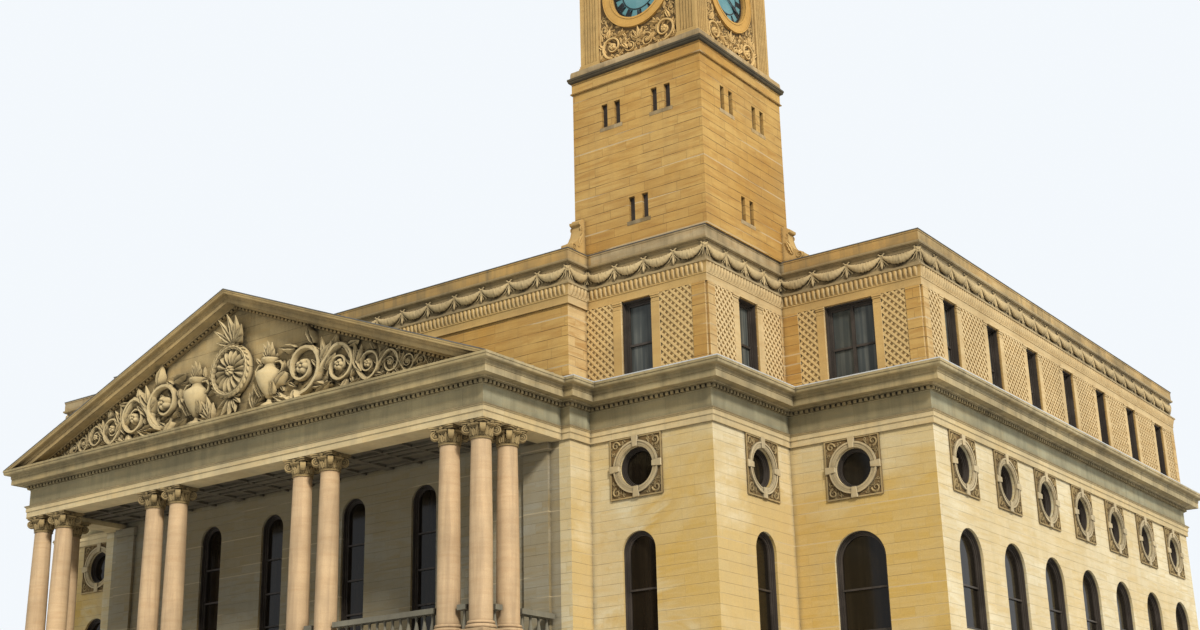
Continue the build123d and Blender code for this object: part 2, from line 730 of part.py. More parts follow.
def make_columns():
    for name, maker in (("column_bases", column_base), ("column_shafts", column_shaft),
                        ("column_capitals", column_capital)):
        piece = maker()
        save(name, mirrored([Pos(x, y, 0) * piece for x, y in column_places()]))


def baluster():
    """A turned baluster between the foot rail and the hand rail."""
    foot = MAIN_FLOOR_TOP + RAIL_FOOT
    head = RAIL_TOP - RAIL_RISE
    belly = foot + (head - foot) * 0.3
    throat = foot + (head - foot) * 0.75
    outline = Polyline((0, head), (0, foot), (BALUSTER_END_RADIUS, foot))
    side = Spline((BALUSTER_END_RADIUS, foot), (BALUSTER_RADIUS, belly),
                  (BALUSTER_THROAT_RADIUS, throat), (BALUSTER_END_RADIUS, head))
    section = make_face(outline + side + Line((BALUSTER_END_RADIUS, head), (0, head)))
    return revolve(Plane.XZ * section, Axis.Z)


def balustrade(start, end):
    """A foot rail, hand rail and balusters along a line between two column plinths."""
    start = Vector(*start)
    end = Vector(*end)
    length = (end - start).length
    middle = (start + end) * 0.5
    along_x = abs(end.X - start.X) > abs(end.Y - start.Y)
    size_x = length if along_x else RAIL_WIDTH
    size_y = RAIL_WIDTH if along_x else length
    foot = Pos(middle.X, middle.Y, MAIN_FLOOR_TOP + RAIL_FOOT / 2) * Box(size_x, size_y, RAIL_FOOT)
    head = Pos(middle.X, middle.Y, RAIL_TOP - RAIL_RISE / 2) * Box(size_x, size_y, RAIL_RISE)
    count = max(1, round(length / BALUSTER_PITCH) - 1)
    piece = baluster()
    turned = []
    for i in range(count):
        place = start + (end - start) * ((i + 0.5) / count)
        turned.append(Pos(place.X, place.Y, 0) * piece)
    return foot.fuse(head, *turned)


def make_balustrades():
    half = COLUMN_PLINTH / 2
    places = column_places()
    line = places[0][1]
    corner_x = places[0][0]
    runs = []
    for (x0, y0), (x1, y1) in zip(places[:3], places[1:4]):
        runs.append(balustrade((x0 - half, line), (x1 + half, line)))
    runs.append(balustrade((corner_x, line + half), (corner_x, places[4][1] - half)))
    runs.append(balustrade((corner_x, places[4][1] + half), (corner_x, Y_CENTRE - ANTA_OUT)))
    runs = mirrored(runs)
    runs.append(balustrade((half - INNER_PAIR_X, line), (INNER_PAIR_X - half, line)))
    save("portico_balustrades", runs)


def portico_ceiling():
    """A flat ceiling with beams from the inner columns to the wall and one across."""
    inner_x = PORTICO_HALF - BEAM
    inner_y = Y_PORTICO + BEAM
    beam_bottom = ARCHITRAVE_BOTTOM + LOWER_FASCIA_RISE
    low = ARCHITRAVE_BOTTOM + CEILING_TOP_RISE
    ceiling = block(-inner_x, inner_x, inner_y, Y_CENTRE, low, low + CEILING_THICKNESS)
    middle_y = (inner_y + Y_CENTRE) / 2
    ceiling += block(-inner_x, inner_x, middle_y - COFFER_BEAM / 2, middle_y + COFFER_BEAM / 2,
                     beam_bottom, low)
    for side in (1, -1):
        x = side * (INNER_PAIR_X + PAIR_SPACING / 2)
        ceiling += block(x - COFFER_BEAM / 2, x + COFFER_BEAM / 2, inner_y, Y_CENTRE,
                         beam_bottom, low)
    return ceiling


def anta():
    """The flat pier with a cap where the portico meets the wall."""
    corner = CENTRE_HALF - WALL
    shaft = block(corner - ANTA_WIDTH, corner, Y_CENTRE - ANTA_OUT, Y_CENTRE, MAIN_FLOOR_TOP,
                  ARCHITRAVE_BOTTOM)
    cap = block(corner - ANTA_WIDTH - ANTA_CAP_OUT, corner + ANTA_CAP_OUT,
                Y_CENTRE - ANTA_OUT - ANTA_CAP_OUT, Y_CENTRE,
                ARCHITRAVE_BOTTOM - CAPITAL_HEIGHT / 2, ARCHITRAVE_BOTTOM)
    return shaft + cap


def gable_half():
    return PORTICO_HALF + CORNICE_OUT


def gable_slope():
    return (PEDIMENT_APEX - ATTIC_BASE) / gable_half()


def gable(thickness, y0, y1):
    """An inverted V between the gable line and one lower by the thickness."""
    half = gable_half()
    inner = half - thickness / gable_slope()
    points = [(half, ATTIC_BASE), (0, PEDIMENT_APEX), (-half, ATTIC_BASE),
              (-inner, ATTIC_BASE), (0, PEDIMENT_APEX - thickness), (inner, ATTIC_BASE)]
    section = make_face(Polyline(*[Vector(x, y0, z) for x, z in points], close=True))
    return extrude(section, amount=y1 - y0, dir=(0, 1, 0))


def tympanum():
    """The flat field of the pediment."""
    inner = gable_half() - RAKING_DEPTH / gable_slope()
    triangle = Polyline((-inner, Y_PORTICO, ATTIC_BASE), (0, Y_PORTICO, PEDIMENT_APEX - RAKING_DEPTH),
                        (inner, Y_PORTICO, ATTIC_BASE), close=True)
    return extrude(make_face(triangle), amount=TYMPANUM, dir=(0, 1, 0))


def make_portico_top():
    save("portico_ceiling", [portico_ceiling()])
    save("portico_antae", mirrored([anta()]))
    back_y = Y_PORTICO + TYMPANUM
    raking = gable(RAKING_LIP_DEPTH, Y_PORTICO - CORNICE_OUT, back_y)
    raking += gable(RAKING_CORONA_DEPTH, Y_PORTICO - CORONA_OUT, back_y)
    raking += gable(RAKING_DEPTH, Y_PORTICO - BED_OUT, back_y)
    save("raking_cornice", [raking])
    save("tympanum", [tympanum()])
    save("portico_roof", [gable(PORTICO_ROOF, back_y, Y_CENTRE - CROWN_OUT)])


# Tower
def tower_square(half, bottom, top):
    """A square solid centred on the tower."""
    return block(SHAFT_CENTRE_X - half, SHAFT_CENTRE_X + half, SHAFT_Y - half, SHAFT_Y + half,
                 bottom, top)


def tower_faces():
    """The four faces of the tower as (outward angle, whether it owns its corners)."""
    return [(-90, False), (0, True), (90, False), (180, True)]


def tower_wall(angle, half, thickness, bottom, top, holes, owns):
    """One wall of a square tower with its outer face turned to an angle."""
    reach = half if owns else half - thickness
    turn = math.radians(angle)
    out = Vector(math.cos(turn), math.sin(turn))
    across = Vector(out.Y, -out.X)
    middle = Vector(SHAFT_CENTRE_X, SHAFT_Y) + out * half
    start = middle - across * reach
    end = middle + across * reach
    placed = [Pos(reach, 0) * hole for hole in holes]
    return wall((start.X, start.Y), (end.X, end.Y), bottom, top, placed, thickness)


def slit_holes():
    """Two pairs of slits high up and one pair lower down, about the middle of a face."""
    places = []
    for side in (1, -1):
        places.append((side * SLIT_GAP_HALF, LOWER_SLIT_LEVEL))
        for pair in (1, -1):
            places.append((pair * SLIT_PAIR_OFFSET + side * SLIT_GAP_HALF, UPPER_SLIT_LEVEL))
    return [rectangle_hole(along, level - SLIT_HEIGHT / 2, level + SLIT_HEIGHT / 2, SLIT_WIDTH)
            for along, level in places]


def tower_outline(half):
    return [(SHAFT_CENTRE_X + x * half, SHAFT_Y + y * half)
            for x, y in ((-1, 1), (1, 1), (1, -1), (-1, -1))]


def ring_solid(profile, half):
    """A moulding that goes right round the tower as one ring of stone."""
    runs = ring(profile, tower_outline(half))
    return runs[0].fuse(*runs[1:])


def make_shaft():
    front_back = []
    sides = []
    for angle, owns in tower_faces():
        piece = tower_wall(angle, SHAFT_HALF, WALL, PARAPET_TOP, SHAFT_TOP, slit_holes(), owns)
        if owns:
            sides.append(piece)
        else:
            front_back.append(piece)
    save("tower_front_and_back_walls", front_back)
    save("tower_side_walls", sides)
    left = SHAFT_CENTRE_X - SHAFT_HALF
    back = SHAFT_Y + SHAFT_HALF
    upstand = block(left, left + WALL, Y_BAY + WALL, back, ROOF_TOP, PARAPET_TOP)
    upstand += block(left, BAY_HALF - WALL, back - WALL, back, ROOF_TOP, PARAPET_TOP)
    save("tower_base_walls", [upstand])
    piers = []
    for bottom, top in ((ENTRANCE_LEVEL, MAIN_FLOOR_BOTTOM),
                        (MAIN_FLOOR_TOP, ATTIC_BASE - FLOOR_THICKNESS),
                        (ATTIC_BASE, ROOF_TOP - FLOOR_THICKNESS)):
        piers.append(block(left, left + INNER_PIER, back - INNER_PIER, back, bottom, top))
    save("tower_inner_piers", piers)
    mid = (SHAFT_TOP + SHAFT_CORNICE_LEVEL) / 2
    profile = [(-WALL, SHAFT_TOP), (SHAFT_BAND_OUT, SHAFT_TOP), (SHAFT_BAND_OUT, mid),
               (SHAFT_CORNICE_OUT, SHAFT_CORNICE_LEVEL - CORNICE_LIP),
               (SHAFT_CORNICE_OUT, SHAFT_CORNICE_LEVEL + CORNICE_LIP),
               (SHAFT_BLOCK_OUT, SHAFT_CORNICE_LEVEL + CORNICE_LIP),
               (SHAFT_BLOCK_OUT, STAGE_BASE), (-WALL, STAGE_BASE)]
    save("tower_shaft_cornice", [ring_solid(profile, SHAFT_HALF)])


def make_clock_stage():
    front_back = []
    sides = []
    dials = []
    rings = []
    hands = []
    for angle, owns in tower_faces():
        hole = round_hole(0, DIAL_LEVEL, DIAL_RADIUS)
        piece = tower_wall(angle, PANEL_HALF, STAGE_WALL, STAGE_BASE, STAGE_TOP, [hole], owns)
        if owns:
            sides.append(piece)
        else:
            front_back.append(piece)
        turn = Pos(SHAFT_CENTRE_X, SHAFT_Y, DIAL_LEVEL) * Rot(0, 0, angle) * Rot(0, 90, 0)
        face = turn * Pos(0, 0, PANEL_HALF)
        dials.append(face * Pos(0, 0, -DIAL_RECESS - DIAL / 2) * Cylinder(DIAL_RADIUS, DIAL))
        rim = Cylinder(DIAL_RADIUS + RING_WIDTH, RING_OUT) - Cylinder(DIAL_RADIUS, RING_OUT)
        rings.append(face * Pos(0, 0, RING_OUT / 2) * rim)
        hands.append(face * Pos(0, 0, -DIAL_RECESS) * clock_hands())
    save("clock_stage_front_and_back", front_back)
    save("clock_stage_sides", sides)
    save("clock_dials", dials)
    save("clock_rings", rings)
    save("clock_hands", hands)
    piers = []
    for x in (-1, 1):
        for y in (-1, 1):
            outer = block(SHAFT_CENTRE_X + x * STAGE_HALF, SHAFT_CENTRE_X + x * (STAGE_HALF - STAGE_PIER),
                          SHAFT_Y + y * STAGE_HALF, SHAFT_Y + y * (STAGE_HALF - STAGE_PIER),
                          STAGE_BASE, STAGE_TOP)
            piers.append(outer - tower_square(PANEL_HALF, STAGE_BASE, STAGE_TOP))
    save("clock_stage_pilasters", piers)
    inner = STAGE_HALF - PANEL_HALF + STAGE_WALL
    base = STAGE_TOP
    top = base + STAGE_ENTABLATURE
    profile = [(-inner, base), (STAGE_ARCHITRAVE_OUT, base),
               (STAGE_ARCHITRAVE_OUT, base + STAGE_ARCHITRAVE_RISE),
               (STAGE_FRIEZE_OUT, base + STAGE_ARCHITRAVE_RISE),
               (STAGE_FRIEZE_OUT, base + STAGE_FRIEZE_RISE),
               (STAGE_BED_OUT, base + STAGE_BED_RISE),
               (STAGE_CORNICE_OUT, base + STAGE_CORONA_RISE),
               (STAGE_CORNICE_OUT, top), (-inner, top)]
    save("clock_stage_entablature", [ring_solid(profile, STAGE_HALF)])


def clock_hands():
    """An hour hand and a minute hand on one boss, in the dial's plane."""
    boss = Pos(0, 0, HAND) * Cylinder(HAND_BOSS_RADIUS, 2 * HAND)
    minute = Rot(0, 0, 60) * Pos(HAND_LENGTH / 2, 0, 1.5 * HAND) * Box(HAND_LENGTH, HAND_WIDTH, HAND)
    hour = Rot(0, 0, 125) * Pos(HAND_LENGTH / 3, 0, HAND / 2) * Box(HAND_LENGTH * 2 / 3, HAND_WIDTH, HAND)
    return boss + minute + hour


def pyramid(half, bottom, rise):
    """A four-sided roof over the tower."""
    base = Plane(origin=(SHAFT_CENTRE_X, SHAFT_Y, bottom)) * Rectangle(2 * half, 2 * half)
    crown = Plane(origin=(SHAFT_CENTRE_X, SHAFT_Y, bottom + rise)) * Rectangle(FINIAL_RADIUS * 2,
                                                                            FINIAL_RADIUS * 2)
    return loft([base.face(), crown.face()], ruled=True)


def make_tower_roof():
    bottom = STAGE_TOP + STAGE_ENTABLATURE
    half = STAGE_HALF + STAGE_CORNICE_OUT - TOWER_ROOF_EAVE
    outer = pyramid(half, bottom, TOWER_ROOF_RISE)
    inner = pyramid(half - 2 * TOWER_ROOF_SHELL, bottom, TOWER_ROOF_RISE - 2 * TOWER_ROOF_SHELL)
    save("tower_roof", [outer - inner])
    top = bottom + TOWER_ROOF_RISE
    axis = Pos(SHAFT_CENTRE_X, SHAFT_Y, top)
    finial = axis * Pos(0, 0, FINIAL_NECK / 2) * Cylinder(FINIAL_NECK_RADIUS, FINIAL_NECK)
    finial += axis * Pos(0, 0, FINIAL_BALL_LEVEL) * Sphere(FINIAL_RADIUS)
    save("tower_finial", [finial])


def scroll_bracket():
    """A scroll that leans on the tower: x out from it, z up, centred across y."""
    outline = Polyline((0, BRACKET_HEIGHT), (0, 0), (BRACKET_REACH, 0), (BRACKET_REACH, BRACKET_TOE))
    sweep = ThreePointArc((BRACKET_REACH, BRACKET_TOE), (BRACKET_WAIST_REACH, BRACKET_WAIST_RISE),
                          (BRACKET_NECK, BRACKET_HEIGHT))
    section = make_face(outline + sweep + Line((BRACKET_NECK, BRACKET_HEIGHT), (0, BRACKET_HEIGHT)))
    body = extrude(Plane.XZ * section, BRACKET_WIDTH / 2, both=True)
    body += Pos(BRACKET_REACH - BRACKET_ROLL_RADIUS, 0, BRACKET_ROLL_RADIUS) \
        * Rot(90, 0, 0) * Cylinder(BRACKET_ROLL_RADIUS, BRACKET_WIDTH)
    return body


def make_brackets():
    piece = scroll_bracket()
    front_y = SHAFT_Y - SHAFT_HALF
    left_x = SHAFT_CENTRE_X - SHAFT_HALF + BRACKET_WIDTH / 2
    back_y = SHAFT_Y + SHAFT_HALF - BRACKET_WIDTH / 2
    right_x = SHAFT_CENTRE_X + SHAFT_HALF
    on_centre = Pos(left_x, front_y, PARAPET_TOP) * Rot(0, 0, -90) * piece
    on_main = Pos(right_x, back_y, PARAPET_TOP) * piece
    save("tower_scroll_brackets", [on_centre, on_main])


os.makedirs("parts", exist_ok=True)
make_walls()
make_entablatures()
make_floors()
make_portico_base()
make_columns()
make_balustrades()
make_portico_top()
make_shaft()
make_clock_stage()
make_tower_roof()
make_brackets()
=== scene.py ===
"""Looks of the courthouse model: stone finishes, mouldings, carving, windows, clock and light."""
import bpy
import bmesh
import math
import random
from mathutils import Matrix, Vector


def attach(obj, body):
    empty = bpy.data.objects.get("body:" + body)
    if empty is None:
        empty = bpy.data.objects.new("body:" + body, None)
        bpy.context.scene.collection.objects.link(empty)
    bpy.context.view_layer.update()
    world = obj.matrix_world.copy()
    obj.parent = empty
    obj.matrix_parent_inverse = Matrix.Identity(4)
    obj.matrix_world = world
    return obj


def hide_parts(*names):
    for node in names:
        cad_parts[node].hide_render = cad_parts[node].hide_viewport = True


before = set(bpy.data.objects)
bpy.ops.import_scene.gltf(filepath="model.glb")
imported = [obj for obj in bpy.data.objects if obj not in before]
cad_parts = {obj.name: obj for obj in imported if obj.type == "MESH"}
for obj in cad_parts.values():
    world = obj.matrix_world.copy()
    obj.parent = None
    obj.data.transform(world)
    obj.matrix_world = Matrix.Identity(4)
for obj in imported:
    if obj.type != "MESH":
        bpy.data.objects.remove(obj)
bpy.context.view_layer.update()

# Plan of the building, metres from the middle: half widths and the front planes
MAIN_HALF = 11.845
BAY_HALF = 8.990
CENTRE_HALF = 6.395
PORTICO_HALF = 6.195
MAIN_Y = -4.3055
BAY_Y = -6.9435
CENTRE_Y = -7.5465
PORTICO_Y = -9.6945
BACK_Y = 9.6945
BASE_Y = -9.8945
MAIN_DEPTH = BACK_Y - MAIN_Y
WALL = 0.45

# Levels
FLOOR_Z = 4.375
ENTABLATURE_Z = 7.975
ATTIC_Z = 8.970
ATTIC_FRIEZE_Z = 10.515
ROOF_Z = 10.900
PARAPET_Z = 11.570

# Window bays
BAY_PITCH = 1.95
SIDE_BAYS = 7
BACK_BAYS = 11
WING_WINDOW_X = 10.262
BAY_WINDOW_X = 7.392
BAY_WINDOW_Y = -5.3415
WIDE_WINDOW = 1.0
NARROW_WINDOW = 0.7
GROUND_SILL = 1.5
GROUND_HEAD = 3.3
MAIN_SILL = 4.5
MAIN_CROWN = 6.29
OCULUS_Z = 7.425
OCULUS_RADIUS = 0.355
SURROUND_HALF = 0.55
ATTIC_SILL = 9.09
ATTIC_HEAD = 10.505
ATTIC_WIDTH = 0.59
ATTIC_BAY_WIDTH = 0.655
ATTIC_WING_WIDTH = 1.0
ATTIC_WING_WINDOW_X = 10.402
ATTIC_BAY_WINDOW_X = 7.504
ATTIC_BAY_WINDOW_Y = -5.5795
GLASS_RECESS = 0.15
FRAME_DEPTH = 0.05

# Windows and entrances behind and under the portico
LOGGIA_WIDTH = 0.62
LOGGIA_SILL = 4.70
LOGGIA_CROWN = 7.67
LOGGIA_WINDOWS_X = (1.130, 2.950)
ENTRANCE_PITCH = 3.35
ENTRANCE_HALF = 0.65
ENTRANCE_SILL = 0.225
ENTRANCE_CROWN = 3.3
DOOR_HEAD = 2.35

# Tower
TOWER_X = 7.655
TOWER_Y = -5.5555
SHAFT_HALF = 1.455
SHAFT_TOP = 14.950
SLIT_PAIRS = ((0, 12.25), (-0.567, 14.30), (0.567, 14.30))
SLIT_OFFSET = 0.147
SLIT_HEIGHT = 0.48
STAGE_Z = 15.430
STAGE_HALF = 1.335
PANEL_HALF = 1.265
STAGE_TOP = 18.200
STAGE_PIER = 0.43
DIAL_Z = 16.850
DIAL_RADIUS = 0.590
DIAL_RECESS = 0.06

# Outward directions of the four sides
FRONT = Vector((0, -1, 0))
BACK = Vector((0, 1, 0))
RIGHT = Vector((1, 0, 0))
LEFT = Vector((-1, 0, 0))
UP = Vector((0, 0, 1))


class Carving:
    """Points and faces gathered for one piece."""

    def __init__(self, points=(), faces=()):
        self.points = [Vector(point) for point in points]
        self.faces = [tuple(face) for face in faces]

    def add(self, other, place=Matrix()):
        start = len(self.points)
        self.points += [place @ point for point in other.points]
        self.faces += [tuple(start + i for i in face) for face in other.faces]
        return self


def block(x0, x1, y0, y1, z0, z1):
    """A plain box between two corners."""
    points = [(x, y, z) for x in (x0, x1) for y in (y0, y1) for z in (z0, z1)]
    faces = [(0, 1, 3, 2), (4, 6, 7, 5), (0, 4, 5, 1), (2, 3, 7, 6), (0, 2, 6, 4), (1, 5, 7, 3)]
    return Carving(points, faces)


def softened(carving, width):
    """The same shape with its sharp edges rounded off."""
    mesh = bmesh.new()
    points = [mesh.verts.new(point) for point in carving.points]
    for face in carving.faces:
        mesh.faces.new([points[i] for i in face])
    bmesh.ops.recalc_face_normals(mesh, faces=mesh.faces)
    edges = [edge for edge in mesh.edges if edge.is_manifold and edge.calc_face_angle(0) > 0.6]
    bmesh.ops.bevel(mesh, geom=edges, offset=width, segments=1, affect="EDGES", profile=0.7)
    mesh.verts.index_update()
    result = Carving([vert.co.copy() for vert in mesh.verts],
                     [[vert.index for vert in face.verts] for face in mesh.faces])
    mesh.free()
    return result


def eased(x0, x1, y0, y1, z0, z1, width):
    """A box with its edges rounded off."""
    return softened(block(x0, x1, y0, y1, z0, z1), width)


def prism(outline, z0, z1):
    """A flat outline given some thickness."""
    count = len(outline)
    points = [(x, y, z) for z in (z0, z1) for x, y in outline]
    faces = [tuple(range(count))[::-1], tuple(range(count, 2 * count))]
    for i in range(count):
        j = (i + 1) % count
        faces.append((i, j, count + j, count + i))
    return Carving(points, faces)


def band(outer, inner, z0, z1):
    """A flat frame between two outlines of as many points."""
    count = len(outer)
    points = [(x, y, z) for z in (z0, z1) for line in (outer, inner) for x, y in line]
    faces = []
    for i in range(count):
        j = (i + 1) % count
        faces.append((2 * count + i, 2 * count + j, 3 * count + j, 3 * count + i))
        faces.append((i, count + i, count + j, j))
        faces.append((i, j, 2 * count + j, 2 * count + i))
        faces.append((count + i, 3 * count + i, 3 * count + j, count + j))
    return Carving(points, faces)


def polar(reach, angle):
    """The flat spot at a distance and an angle, in radians, from the middle."""
    return (reach * math.cos(angle), reach * math.sin(angle))


def circle(radius, steps=40):
    return [polar(radius, math.tau * i / steps) for i in range(steps)]


def hoop(outer, inner, z0, z1, steps=40):
    """A flat ring between two circles."""
    return band(circle(outer, steps), circle(inner, steps), z0, z1)


def surface(rows, around=False, capped=False):
    """A skin over rows of points, which may close round and have a face at either end."""
    wide = len(rows[0])
    points = [point for row in rows for point in row]
    faces = []
    for i in range(len(rows) - 1):
        for j in range(wide if around else wide - 1):
            k = (j + 1) % wide
            faces.append((i * wide + j, i * wide + k, (i + 1) * wide + k, (i + 1) * wide + j))
    if capped:
        faces.append(range(wide)[::-1])
        faces.append(range(len(points) - wide, len(points)))
    return Carving(points, faces)


def turned(profile, segments=32):
    """A closed profile of (radius, height) points turned round the upright axis."""
    rows = []
    for i in range(segments + 1):
        angle = math.tau * (i % segments) / segments
        rows.append([(*polar(r, angle), z) for r, z in profile])
    return surface(rows, around=True)


def tube(path, radii, sides=8, flat=1.0, capped=True):
    """A rod of one radius or several along a path, pressed towards the wall by flat."""
    path = [Vector(point) for point in path]
    if isinstance(radii, float):
        radii = [radii] * len(path)
    rows = []
    for i, centre in enumerate(path):
        ahead = path[min(i + 1, len(path) - 1)] - path[max(i - 1, 0)]
        ahead.normalize()
        across = ahead.cross(UP)
        if across.length < 0.2:
            across = ahead.cross(Vector((1, 0, 0)))
        across.normalize()
        lift = across.cross(ahead)
        row = []
        for j in range(sides):
            angle = math.tau * j / sides
            spot = centre + radii[i] * (math.cos(angle) * across + flat * math.sin(angle) * lift)
            row.append(spot)
        rows.append(row)
    return surface(rows, around=True, capped=capped)


def on_wall(x, y, z, out):
    """The frame of a spot on a wall: x to the right as seen from outside, y up, z outward."""
    right = UP.cross(out)
    place = Matrix((right, UP, out)).transposed().to_4x4()
    place.translation = Vector((x, y, z))
    return place


def facing_out(degrees, reach, height):
    """The frame of a spot at a distance from the z axis, facing away from it."""
    way = turn(degrees) @ RIGHT
    return on_wall(way.x * reach, way.y * reach, height, way)


def move(x, y, z=0):
    return Matrix.Translation((x, y, z))


def turn(degrees):
    return Matrix.Rotation(math.radians(degrees), 4, "Z")


def stretched(x, y, z):
    return Matrix.Diagonal((x, y, z, 1))


def repeated(shape, places):
    """Copies of a shape, one at each place."""
    copies = Carving()
    for place in places:
        copies.add(shape, place)
    return copies


def show(name, carving, material, rounded=30, stands_for=()):
    """Make a piece from a carving, dress it and let it ride on the building."""
    mesh = bpy.data.meshes.new(name)
    mesh.from_pydata(carving.points, [], carving.faces)
    work = bmesh.new()
    work.from_mesh(mesh)
    bmesh.ops.recalc_face_normals(work, faces=work.faces)
    work.to_mesh(mesh)
    work.free()
    mesh.materials.append(material)
    mesh.shade_smooth()
    mesh.set_sharp_from_angle(angle=math.radians(rounded))
    piece = bpy.data.objects.new(name, mesh)
    bpy.context.scene.collection.objects.link(piece)
    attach(piece, "root")
    if stands_for:
        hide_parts(*stands_for)
    return piece


# Shader nodes
class Nodes:
    """Adds nodes to one tree and links what feeds them."""

    def __init__(self, tree):
        self.tree = tree

    def feed(self, socket, value):
        if isinstance(value, bpy.types.NodeSocket):
            self.tree.links.new(value, socket)
        else:
            socket.default_value = value

    def add(self, kind, inputs=None, **settings):
        node = self.tree.nodes.new(kind)
        for name, value in settings.items():
            setattr(node, name, value)
        for name, value in (inputs or {}).items():
            self.feed(node.inputs[name], value)
        return node

    def math(self, operation, *values):
        node = self.add("ShaderNodeMath", operation=operation)
        for socket, value in zip(node.inputs, values):
            self.feed(socket, value)
        return node.outputs[0]

    def times(self, *values):
        """The product of some values."""
        product = values[0]
        for value in values[1:]:
            product = self.math("MULTIPLY", product, value)
        return product

    def mix(self, factor, first, second, blend="MIX"):
        node = self.add("ShaderNodeMix", data_type="RGBA", blend_type=blend)
        self.feed(node.inputs[0], factor)
        self.feed(node.inputs[6], first)
        self.feed(node.inputs[7], second)
        return node.outputs[2]

    def reach(self, value, low, high, to_low=0.0, to_high=1.0):
        """A value stretched from one range to another and held there."""
        node = self.add("ShaderNodeMapRange", {"Value": value, "From Min": low, "From Max": high,
                                               "To Min": to_low, "To Max": to_high})
        return node.outputs[0]

    def noise(self, place, scale, detail=3.0, roughness=0.5, distortion=0.0):
        node = self.add("ShaderNodeTexNoise", {"Vector": place, "Scale": scale, "Detail": detail,
                                               "Roughness": roughness, "Distortion": distortion})
        return node.outputs["Fac"]

    def place(self, stretch=(1, 1, 1), shift=None):
        """The spot on the building, stretched and moved for a pattern."""
        spot = self.add("ShaderNodeTexCoord").outputs["Object"]
        node = self.add("ShaderNodeVectorMath", {0: spot, 1: stretch}, operation="MULTIPLY")
        if shift is None:
            return node.outputs[0]
        node = self.add("ShaderNodeVectorMath", {0: node.outputs[0], 1: shift}, operation="ADD")
        return node.outputs[0]

    def spot(self):
        """The spot on the building as x, y and z."""
        return self.add("ShaderNodeSeparateXYZ", {0: self.place()}).outputs

    def facing(self):
        """The outward way of the surface as x, y and z."""
        normal = self.add("ShaderNodeNewGeometry").outputs["True Normal"]
        return self.add("ShaderNodeSeparateXYZ", {0: normal}).outputs

    def group(self, tree, **inputs):
        node = self.tree.nodes.new("ShaderNodeGroup")
        node.node_tree = tree
        for name, value in inputs.items():
            self.feed(node.inputs[name.replace("_", " ").title()], value)
        return node


def new_group(name, inputs, outputs):
    """An empty node group with named number sockets."""
    tree = bpy.data.node_groups.new(name, "ShaderNodeTree")
    for label, value in inputs.items():
        socket = tree.interface.new_socket(label, in_out="INPUT", socket_type="NodeSocketFloat")
        socket.default_value = value
    for label in outputs:
        tree.interface.new_socket(label, in_out="OUTPUT", socket_type="NodeSocketFloat")
    nodes = Nodes(tree)
    return tree, nodes, nodes.add("NodeGroupInput").outputs, nodes.add("NodeGroupOutput").inputs


def wall_courses():
    """Stone courses: a mask of all joints, a wider one of the level joints, and block tones."""
    tree, nodes, given, result = new_group(
        "wall courses", {"Course": 0.185, "Length": 0.6, "Joint": 0.006},
        ("Joint", "Bed", "Tone"))
    spot = nodes.spot()
    facing = nodes.facing()
    sideways = nodes.math("GREATER_THAN", nodes.math("ABSOLUTE", facing[0]),
                          nodes.math("ABSOLUTE", facing[1]))
    level = nodes.math("GREATER_THAN", nodes.math("ABSOLUTE", facing[2]), 0.7)
    along = nodes.add("ShaderNodeMix", {0: sideways, 2: spot[0], 3: spot[1]}).outputs[0]
    along = nodes.add("ShaderNodeMix", {0: level, 2: along, 3: spot[0]}).outputs[0]
    height = nodes.add("ShaderNodeMix", {0: level, 2: spot[2], 3: spot[1]}).outputs[0]
    flat = nodes.add("ShaderNodeCombineXYZ", {0: along, 1: height})
    bricks = nodes.add("ShaderNodeTexBrick", {
        "Vector": flat.outputs[0], "Color1": (0, 0, 0, 1), "Color2": (1, 1, 1, 1),
        "Mortar": (0.5, 0.5, 0.5, 1), "Scale": 1.0, "Mortar Size": given["Joint"],
        "Mortar Smooth": 0.4, "Bias": 0.0, "Brick Width": given["Length"],
        "Row Height": given["Course"]}, offset=0.42, squash=0.7, squash_frequency=3)
    half = nodes.times(given["Course"], 0.5)
    to_bed = nodes.math("DIVIDE", nodes.math("PINGPONG", height, half), given["Joint"])
    level_joint = nodes.reach(to_bed, 1.0, 0.5)
    upright = nodes.times(bricks.outputs["Fac"], 0.35)
    nodes.feed(result["Joint"], nodes.math("MAXIMUM", upright, level_joint))
    nodes.feed(result["Bed"], nodes.reach(to_bed, 2.2, 1.6))
    nodes.feed(result["Tone"], bricks.outputs["Color"])
    return tree


def stone_bedding():
    """The lie of the sandstone: long level streaks that differ from block to block."""
    tree, nodes, given, result = new_group(
        "stone bedding", {"Tone": 0.5, "Fineness": 1.0}, ("Streak", "Cloud"))
    shift = nodes.add("ShaderNodeCombineXYZ", {0: nodes.times(given["Tone"], 31.0),
                                               2: nodes.times(given["Tone"], 17.0)})
    streaks = nodes.noise(nodes.place((0.9, 0.9, 9.0), shift.outputs[0]), given["Fineness"],
                          5.0, 0.62, 0.9)
    clouds = nodes.noise(nodes.place((0.55, 0.55, 0.9), shift.outputs[0]), given["Fineness"],
                         4.0, 0.6, 0.3)
    nodes.feed(result["Streak"], nodes.reach(streaks, 0.44, 0.66))
    nodes.feed(result["Cloud"], nodes.reach(clouds, 0.36, 0.66))
    return tree


